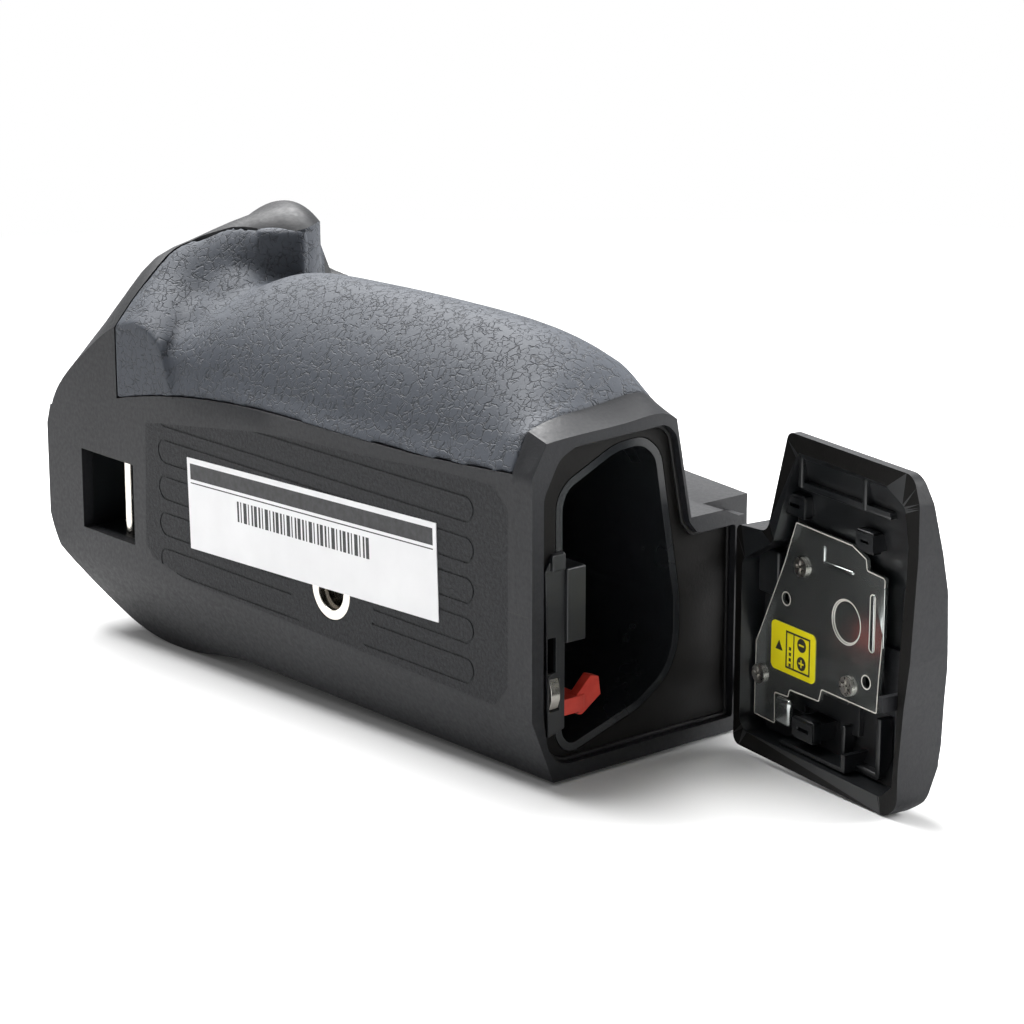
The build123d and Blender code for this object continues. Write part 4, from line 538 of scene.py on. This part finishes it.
for name, new_name, edge in (
    ("front_shell", "front_shell_skin", 0.35), ("rear_shell", "rear_shell_skin", 0.35),
    ("camera_plate", "camera_plate_skin", 0.25), ("base_pad", "base_pad_skin", 0.0),
    ("chamber_bezel", "chamber_bezel_skin", 0.3), ("chamber_box", "chamber_box_skin", 0.25),
    ("door_seal", "door_seal_skin", 0.2), ("door_outer", "door_skin", 0.35),
    ("door_inner", "door_liner_skin", 0.15), ("battery_latch", "battery_latch_skin", 0.2),
    ("chamber_guide", "chamber_guide_skin", 0.3), ("hinge_bracket", "hinge_bracket_skin", 0.2),
    ("latch_housing", "latch_housing_skin", 0.12), ("door_plate", "door_plate_skin", 0.1),
    ("contact_block", "contact_block_skin", 0.15), ("strap_pocket", "strap_pocket_skin", 0.1),
    ("door_plate_screws", "door_plate_screws_skin", 0.08), ("strap_bar", "strap_bar_skin", 0.15),
    ("side_spring", "side_spring_skin", 0.06), ("tripod_socket", "tripod_socket_skin", 0.15),
):
    dressed(name, new_name, edge)

# The open door's hinge, and the ways that run along the door and toward its inside

door_hinge = mm(55.2, 42.0, 0.0)
door_turn = math.radians(-8.5)
door_along = Vector((0.989, -0.148, 0.0))
door_inward = Vector((-0.148, -0.989, 0.0))

# The steel plate's sheared edge takes a pale finish all round: a painted highlight

plate_copy = bpy.data.objects["door_plate_skin"]
plate_copy.data.materials.append(edge_painted_highlight)
only(plate_copy)
bpy.ops.object.mode_set(mode="EDIT")
bpy.ops.mesh.select_mode(type="FACE")
bpy.ops.mesh.select_all(action="DESELECT")
bpy.ops.object.mode_set(mode="OBJECT")
flat_faces = [face for face in plate_copy.data.polygons if face.normal.dot(door_inward) > 0.99]
for face in flat_faces:
    face.select = True
bpy.ops.object.mode_set(mode="EDIT")
bpy.ops.mesh.inset(thickness=mm(0.2), depth=0)
bpy.ops.object.mode_set(mode="OBJECT")
for face in plate_copy.data.polygons:
    if not face.select and face.normal.dot(door_inward) > 0.2:
        face.material_index = 1

# Behind the hook the pod's shoulder is lowered toward the camera side. This is done on the copy alone:
# the solid's shoulder is higher. The faces round the pod's tip take the leather finish.

shoulder_from_y, shoulder_from_x, shoulder_height = 35.5, -60.0, 36.8
tip_leather_z, tip_leather_y = 26.0, 37.0
pod_skin = bpy.data.objects["front_shell_skin"]
for spot in pod_skin.data.vertices:
    x, y, z = spot.co * 1000
    if y > shoulder_from_y and x > shoulder_from_x and z > shoulder_height:
        fall = min((y - shoulder_from_y) / 4.0, 1.0) * min((x - shoulder_from_x) / 5.0, 1.0)
        spot.co.z = mm(z - fall * (z - shoulder_height))
pod_skin.data.materials.append(leather)
only(pod_skin)
bpy.ops.object.mode_set(mode="EDIT")
for point, normal in ((mm(0, 0, tip_leather_z), (0, 0, 1)), (mm(0, tip_leather_y, 0), (0, 1, 0))):
    bpy.ops.mesh.select_all(action="SELECT")
    bpy.ops.mesh.bisect(plane_co=point, plane_no=normal)
bpy.ops.object.mode_set(mode="OBJECT")
for face in pod_skin.data.polygons:
    x, y, z = face.center * 1000
    at_tip = -50.0 < x < -30.0 and z > tip_leather_z and 18.0 < y < tip_leather_y
    if at_tip and face.normal.x > 0.35 and face.normal.z < 0.5:
        face.material_index = 1

# The door's copy hides a fault of the solid: bosses, ribs and a screw post of door_outer come out
# through its slanted outer face by up to 2.9 mm. Here they are pushed back until they are flush.
# The door's hollow is satin black, the flat faces round it matt black, and its outside charcoal.

door_skin = bpy.data.objects["door_skin"]
door_skin.data.materials.append(inner)
door_skin.data.materials.append(seat)
door_turned_back = Matrix.Rotation(-door_turn, 3, "Z")
door_turned = Matrix.Rotation(door_turn, 3, "Z")
for spot in door_skin.data.vertices:
    along, low, up = (door_turned_back @ (spot.co - door_hinge)) * 1000
    # How far toward the inside the slanted outer face lies at this height
    outer_height = 1.09 + 0.2485 * (up - 15.0)
    if along > 6.0 and up > 3.0 and -low < outer_height - 0.12:
        spot.co = door_hinge + door_turned @ mm(along, -outer_height, up)
# The outline of the hollow as (along the door, up), in millimetres
inner_outline = ((12.6, 30.4), (38.9, 30.2), (40.2, 27.0), (40.2, 20.4), (39.3, 5.0), (38.3, -1.9),
                 (37.4, -11.2), (37.4, -15.5), (35.2, -17.2), (1.0, -17.0), (1.0, 14.6), (8.4, 15.4))


def inside_outline(u, v, outline):
    """Whether a point lies inside a closed outline."""
    crossed = False
    for (u0, v0), (u1, v1) in zip(outline, outline[1:] + outline[:1]):
        if (v0 > v) != (v1 > v) and u < (u1 - u0) * (v - v0) / (v1 - v0) + u0:
            crossed = not crossed
    return crossed


for face in door_skin.data.polygons:
    offset = face.center - door_hinge
    u, height = offset.dot(door_along) * 1000, offset.dot(door_inward) * 1000
    in_hollow = height > 0.3 and inside_outline(u, face.center.z * 1000, inner_outline)
    if in_hollow:
        face.material_index = 1
    elif face.normal.dot(door_inward) > 0.97:
        face.material_index = 2

# On the copy the pad's bars stand only about a tenth of a millimetre proud of their grooves

pad_copy = bpy.data.objects["base_pad_skin"]
for spot in pad_copy.data.vertices:
    if mm(0.3) < spot.co.y < mm(0.4):
        spot.co.y = mm(0.12)


# The white label on the base: paper sheet whose printed parts are cut in with bisects and take the ink

label_wide, label_tall, label_thick = 64.4, 15.3, 0.14
label_middle = mm(-5.7, 0.0, 7.5)
label_turn = math.radians(-2.05)


def cut(piece, across, at):
    """Cuts every face of the piece at one place along X or Z, in millimetres from its middle."""
    normal = (1, 0, 0) if across == "X" else (0, 0, 1)
    bpy.ops.object.mode_set(mode="EDIT")
    bpy.ops.mesh.select_all(action="SELECT")
    point = mm(at, 0, 0) if across == "X" else mm(0, 0, at)
    bpy.ops.mesh.bisect(plane_co=point, plane_no=normal)
    bpy.ops.object.mode_set(mode="OBJECT")


bpy.ops.object.select_all(action="DESELECT")
bpy.ops.mesh.primitive_cube_add(size=1.0, location=(0, 0, 0))
label_sheet = bpy.context.object
label_sheet.name = "label_sheet"
label_sheet.scale = mm(label_wide, label_thick, label_tall)
settle(label_sheet)
print_edge = 31.4
header_top, header_low, rule_at = 6.75, 4.1, 3.5
bars_left, bars_right, bars_top, bars_low = -18.6, 18.6, 2.5, -0.9
for level_at in (header_top, header_low, rule_at + 0.1, rule_at - 0.1, bars_top, bars_low):
    cut(label_sheet, "Z", level_at)
for edge_at in (-print_edge, print_edge, bars_left, bars_right):
    cut(label_sheet, "X", edge_at)
bar_edges = []
at = bars_left
for step in (0.5, 0.4, 0.3, 0.5, 0.9, 0.35, 0.3, 0.6, 0.45, 0.3, 0.8, 0.4) * 6:
    at += step
    if at > bars_right - 0.4:
        break
    bar_edges.append(at)
for edge_at in bar_edges:
    cut(label_sheet, "X", edge_at)
label_sheet.data.materials.append(paper)
label_sheet.data.materials.append(ink)
stops = [bars_left] + bar_edges + [bars_right]
for face in label_sheet.data.polygons:
    x, z = face.center.x * 1000, face.center.z * 1000
    if abs(face.normal.y) < 0.5 or abs(x) > print_edge:
        continue
    in_header = header_low < z < header_top
    on_rule = abs(z - rule_at) < 0.1
    in_bars = bars_low < z < bars_top and bars_left < x < bars_right
    dark_bar = in_bars and x < bar_edges[-1] and sum(stop < x for stop in stops) % 2 == 1
    if in_header or on_rule or dark_bar:
        face.material_index = 1
label_sheet.location = label_middle + mm(0, -0.5 * label_thick, 0)
label_sheet.rotation_euler = (0, label_turn, 0)
settle(label_sheet)
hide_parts("rating_label")
carry(label_sheet, "grip")


# Small pieces of the door, drawn round the hinge and turned with it.
# A place is (along the door, its height toward the inside taken as negative, up).

def block(size, at, ease=0.0):
    """A block with eased edges: its size and middle in millimetres."""
    bpy.ops.object.select_all(action="DESELECT")
    bpy.ops.mesh.primitive_cube_add(size=1.0, location=mm(*at))
    piece = bpy.context.object
    piece.scale = mm(*size)
    settle(piece)
    if ease:
        rounding = piece.modifiers.new("ease", "BEVEL")
        rounding.width = mm(ease)
        rounding.segments = 3
        apply_all(piece)
    return piece


def disc(radius, depth, at, ease=0.0):
    """A round plate facing along Y."""
    bpy.ops.object.select_all(action="DESELECT")
    bpy.ops.mesh.primitive_cylinder_add(vertices=48, radius=mm(radius), depth=mm(depth), location=mm(*at),
                                        rotation=(math.radians(90), 0, 0))
    piece = bpy.context.object
    settle(piece)
    if ease:
        rounding = piece.modifiers.new("ease", "BEVEL")
        rounding.width = mm(ease)
        rounding.segments = 2
        rounding.limit_method = "ANGLE"
        apply_all(piece)
    return piece


def sheet(wide, tall, thick, corner, at):
    """A thin sheet with rounded corners that faces -Y."""
    bpy.ops.object.select_all(action="DESELECT")
    bpy.ops.mesh.primitive_plane_add(size=1.0, rotation=(math.radians(90), 0, 0))
    piece = bpy.context.object
    piece.scale = (mm(wide), mm(tall), 1.0)
    settle(piece)
    bpy.ops.object.mode_set(mode="EDIT")
    bpy.ops.mesh.select_all(action="SELECT")
    bpy.ops.mesh.bevel(offset=mm(corner), segments=6, affect="VERTICES")
    bpy.ops.object.mode_set(mode="OBJECT")
    body = piece.modifiers.new("thick", "SOLIDIFY")
    body.thickness = mm(thick)
    body.offset = -1.0
    apply_all(piece)
    piece.location = mm(*at)
    settle(piece)
    return piece


def joined(pieces, name):
    """Several pieces as one."""
    bpy.ops.object.select_all(action="DESELECT")
    for piece in pieces:
        piece.select_set(True)
    bpy.context.view_layer.objects.active = pieces[0]
    bpy.ops.object.join()
    pieces[0].name = name
    only(pieces[0])
    bpy.ops.object.shade_smooth_by_angle(angle=math.radians(30))
    return pieces[0]


def on_door(piece):
    """Moves a piece drawn round the hinge to the open door."""
    piece.rotation_euler = (0, 0, door_turn)
    piece.location = door_hinge
    settle(piece)
    return piece


plate_face = 4.5

# Yellow sticker with the way round of the battery printed on it

sticker = on_door(sheet(10.7, 7.5, 0.12, 0.9, (11.05, -plate_face - 0.12, -1.55)))
sticker.name = "door_sticker"
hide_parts("door_label")
carry(sticker, "door", yellow)

print_face = -plate_face - 0.14
print_thick = 0.04
marks = []
for wide, tall, u, z in (
    (5.9, 0.28, 12.3, 1.2), (5.9, 0.28, 12.3, -4.3), (0.28, 5.5, 9.49, -1.55), (0.28, 5.5, 15.11, -1.55),
    (0.22, 5.5, 11.3, -1.55),
):
    marks.append(block((wide, print_thick, tall), (u, print_face, z)))
for row in range(4):
    marks.append(block((0.5, print_thick, 0.5), (10.4, print_face, -1.3 - 0.85 * row)))
for z in (-0.1, -2.9):
    marks.append(disc(1.05, print_thick, (13.2, print_face, z)))
bpy.ops.object.select_all(action="DESELECT")
bpy.ops.mesh.primitive_cylinder_add(vertices=3, radius=mm(1.0), depth=mm(print_thick),
                                    location=mm(7.7, print_face, -1.6),
                                    rotation=(math.radians(90), 0, 0))
settle(bpy.context.object)
marks.append(bpy.context.object)
carry(on_door(joined(marks, "sticker_print")), "door", ink)

signs = [block((1.2, print_thick, 0.26), (13.2, print_face - 0.02, z)) for z in (-0.1, -2.9)]
signs.append(block((0.26, print_thick, 1.2), (13.2, print_face - 0.02, -2.9)))
carry(on_door(joined(signs, "sticker_signs")), "door", yellow)

# Pressed beads and the bent tab of the steel plate

beads = [
    block((0.5, 0.4, 2.4), (17.95, -plate_face, 15.1), 0.18),
    block((7.0, 0.4, 0.5), (21.4, -plate_face, 13.85), 0.18),
    block((3.5, 1.2, 4.2), (9.5, -plate_face - 0.2, -11.3), 0.55),
    block((0.4, 0.3, 8.6), (29.7, -plate_face, 7.6), 0.12),
    block((0.35, 0.5, 9.0), (32.0, -plate_face + 0.15, 9.0), 0.12),
]
carry(on_door(joined(beads, "plate_beads")), "door", sheet_steel)

# Ribs, sockets and lips of the door's lining

ribs = [
    block((1.0, 2.4, 9.0), (30.6, -2.6, -11.0), 0.2), block((8.5, 2.4, 1.0), (26.6, -2.6, -15.4), 0.2),
    block((0.9, 2.2, 5.0), (22.2, -2.5, -12.6), 0.2), block((5.0, 2.4, 7.0), (4.0, -3.0, 9.0), 0.4),
    block((21.0, 1.4, 0.9), (24.0, -5.2, 24.6), 0.2), block((0.9, 1.3, 4.6), (13.8, -5.5, 26.6), 0.2),
    block((0.9, 1.3, 4.6), (28.8, -5.5, 26.6), 0.2), block((0.9, 2.0, 12.0), (35.4, -2.6, 8.0), 0.2),
    block((0.9, 2.0, 9.0), (34.2, -2.4, -8.0), 0.2),
]
for u, z, wide, tall in ((12.4, 21.3, 4.4, 3.4), (28.8, 19.7, 3.9, 3.2), (15.6, -12.3, 4.8, 3.4)):
    for side in (-0.5, 0.5):
        ribs.append(block((0.9, 1.6, tall), (u + side * (wide - 0.9), -5.0, z), 0.18))
        ribs.append(block((wide, 1.6, 0.8), (u, -5.0, z + side * (tall - 0.8)), 0.18))
carry(on_door(joined(ribs, "door_ribs")), "door", inner)

# The joint between the front and rear shells shows as a fine dark line across the base's battery end

seam = block((4.6, 0.3, 0.22), (44.9, 0.13, 6.4))
seam.name = "shell_joint_line"
carry(seam, "grip", gasket)

# The solid's pod wall has an unplanned opening behind the hook. This plate covers it in the scene alone.

wall_plate = block((1.2, 10.4, 15.0), (-50.1, 40.4, 20.5), 0.3)
wall_plate.name = "pod_wall_plate"
carry(wall_plate, "grip", shell)

# The tripod socket's thread: a sharp ridge wound inward along the bore

bpy.ops.object.select_all(action="DESELECT")
bpy.ops.mesh.primitive_circle_add(vertices=3, radius=mm(0.55), fill_type="NOTHING",
                                  rotation=(0, 0, math.radians(90)), location=mm(-3.05, 0.75, 0))
thread = bpy.context.object
thread.name = "socket_thread"
settle(thread)
wind = thread.modifiers.new("wind", "SCREW")
wind.axis = "Y"
wind.screw_offset = mm(1.27)
wind.iterations = 3
wind.steps = 48
wind.render_steps = 48
apply_all(thread)
bpy.ops.object.mode_set(mode="EDIT")
bpy.ops.mesh.select_all(action="SELECT")
bpy.ops.mesh.normals_make_consistent(inside=False)
bpy.ops.object.mode_set(mode="OBJECT")
only(thread)
bpy.ops.object.shade_smooth_by_angle(angle=math.radians(40))
carry(thread, "grip", nickel)


# Floor, world and lamps

floor_low, floor_high = mm(-52.0, 0.0, -22.55), mm(92.0, 0.0, -19.0)
slope = math.atan2(floor_high.z - floor_low.z, floor_high.x - floor_low.x)
bpy.ops.object.select_all(action="DESELECT")
bpy.ops.mesh.primitive_plane_add(size=6.0, location=floor_low, rotation=(0, -slope, 0))
floor = bpy.context.object
floor.name = "floor"
settle(floor)

paper_floor, floor_shader = new_finish("seamless_white_paper", "#dcdcdc", 0.8, specular=0.2)
ray = add_node(paper_floor, "ShaderNodeLightPath")
seen = add_node(paper_floor, "ShaderNodeMath", {"operation": "MAXIMUM"},
                {0: ray.outputs["Is Camera Ray"], 1: ray.outputs["Is Glossy Ray"]}).outputs[0]
glow = add_node(paper_floor, "ShaderNodeEmission", {"Color": (1, 1, 1, 1), "Strength": 1.0})
spot_at = add_node(paper_floor, "ShaderNodeTexCoord").outputs["Object"]
far_off = add_node(paper_floor, "ShaderNodeVectorMath", {"operation": "LENGTH"},
                   {0: spot_at}).outputs["Value"]
lit = ramp(paper_floor, far_off, 0.14, 0.5, 0.02, 1.0)
share = add_node(paper_floor, "ShaderNodeMath", {"operation": "MULTIPLY"}, {0: seen, 1: lit}).outputs[0]
blend = add_node(paper_floor, "ShaderNodeMixShader", {},
                 {0: share, 1: floor_shader.outputs[0], 2: glow.outputs[0]})
floor_output = paper_floor.node_tree.nodes["Material Output"]
paper_floor.node_tree.links.new(blend.outputs[0], floor_output.inputs["Surface"])
floor.data.materials.append(paper_floor)

world = bpy.data.worlds.new("studio")
world.use_nodes = True
bpy.context.scene.world = world
air = world.node_tree.nodes["Background"]
ray = add_node(world, "ShaderNodeLightPath")
seen = add_node(world, "ShaderNodeMath", {"operation": "MAXIMUM"},
                {0: ray.outputs["Is Camera Ray"], 1: ray.outputs["Is Transmission Ray"]}).outputs[0]
# The room is brighter above and behind the grip than on the camera's side
way = add_node(world, "ShaderNodeTexCoord").outputs["Generated"]
brighter_side = (-0.6, 0.35, 0.72)
facing = add_node(world, "ShaderNodeVectorMath", {"operation": "DOT_PRODUCT", 1: brighter_side},
                  {0: way}).outputs["Value"]
room = add_node(world, "ShaderNodeMapRange",
                {"From Min": -0.6, "From Max": 0.9, "To Min": 0.13, "To Max": 0.54},
                {"Value": facing}).outputs["Result"]
level = add_node(world, "ShaderNodeMix", {"data_type": "FLOAT", 3: 1.0}, {0: seen, 2: room}).outputs[0]
air.inputs["Color"].default_value = (1, 1, 1, 1)
world.node_tree.links.new(level, air.inputs["Strength"])


def soft_box(name, at, aim, size, watts):
    """A square soft light at a place, turned to a point, in millimetres."""
    lamp_data = bpy.data.lights.new(name, "AREA")
    lamp_data.shape = "SQUARE"
    lamp_data.size = mm(size)
    lamp_data.energy = watts
    lamp = bpy.data.objects.new(name, lamp_data)
    lamp.location = at
    lamp.rotation_euler = (aim - at).to_track_quat("-Z", "Y").to_euler()
    bpy.context.scene.collection.objects.link(lamp)
    return lamp


soft_box("overhead_box", mm(-450, 150, 850), mm(0, 20, 10), 800, 32.0)
soft_box("back_box", mm(500, 800, 350), mm(50, 20, 10), 500, 16.0)

bpy.context.scene.view_settings.view_transform = "Standard"
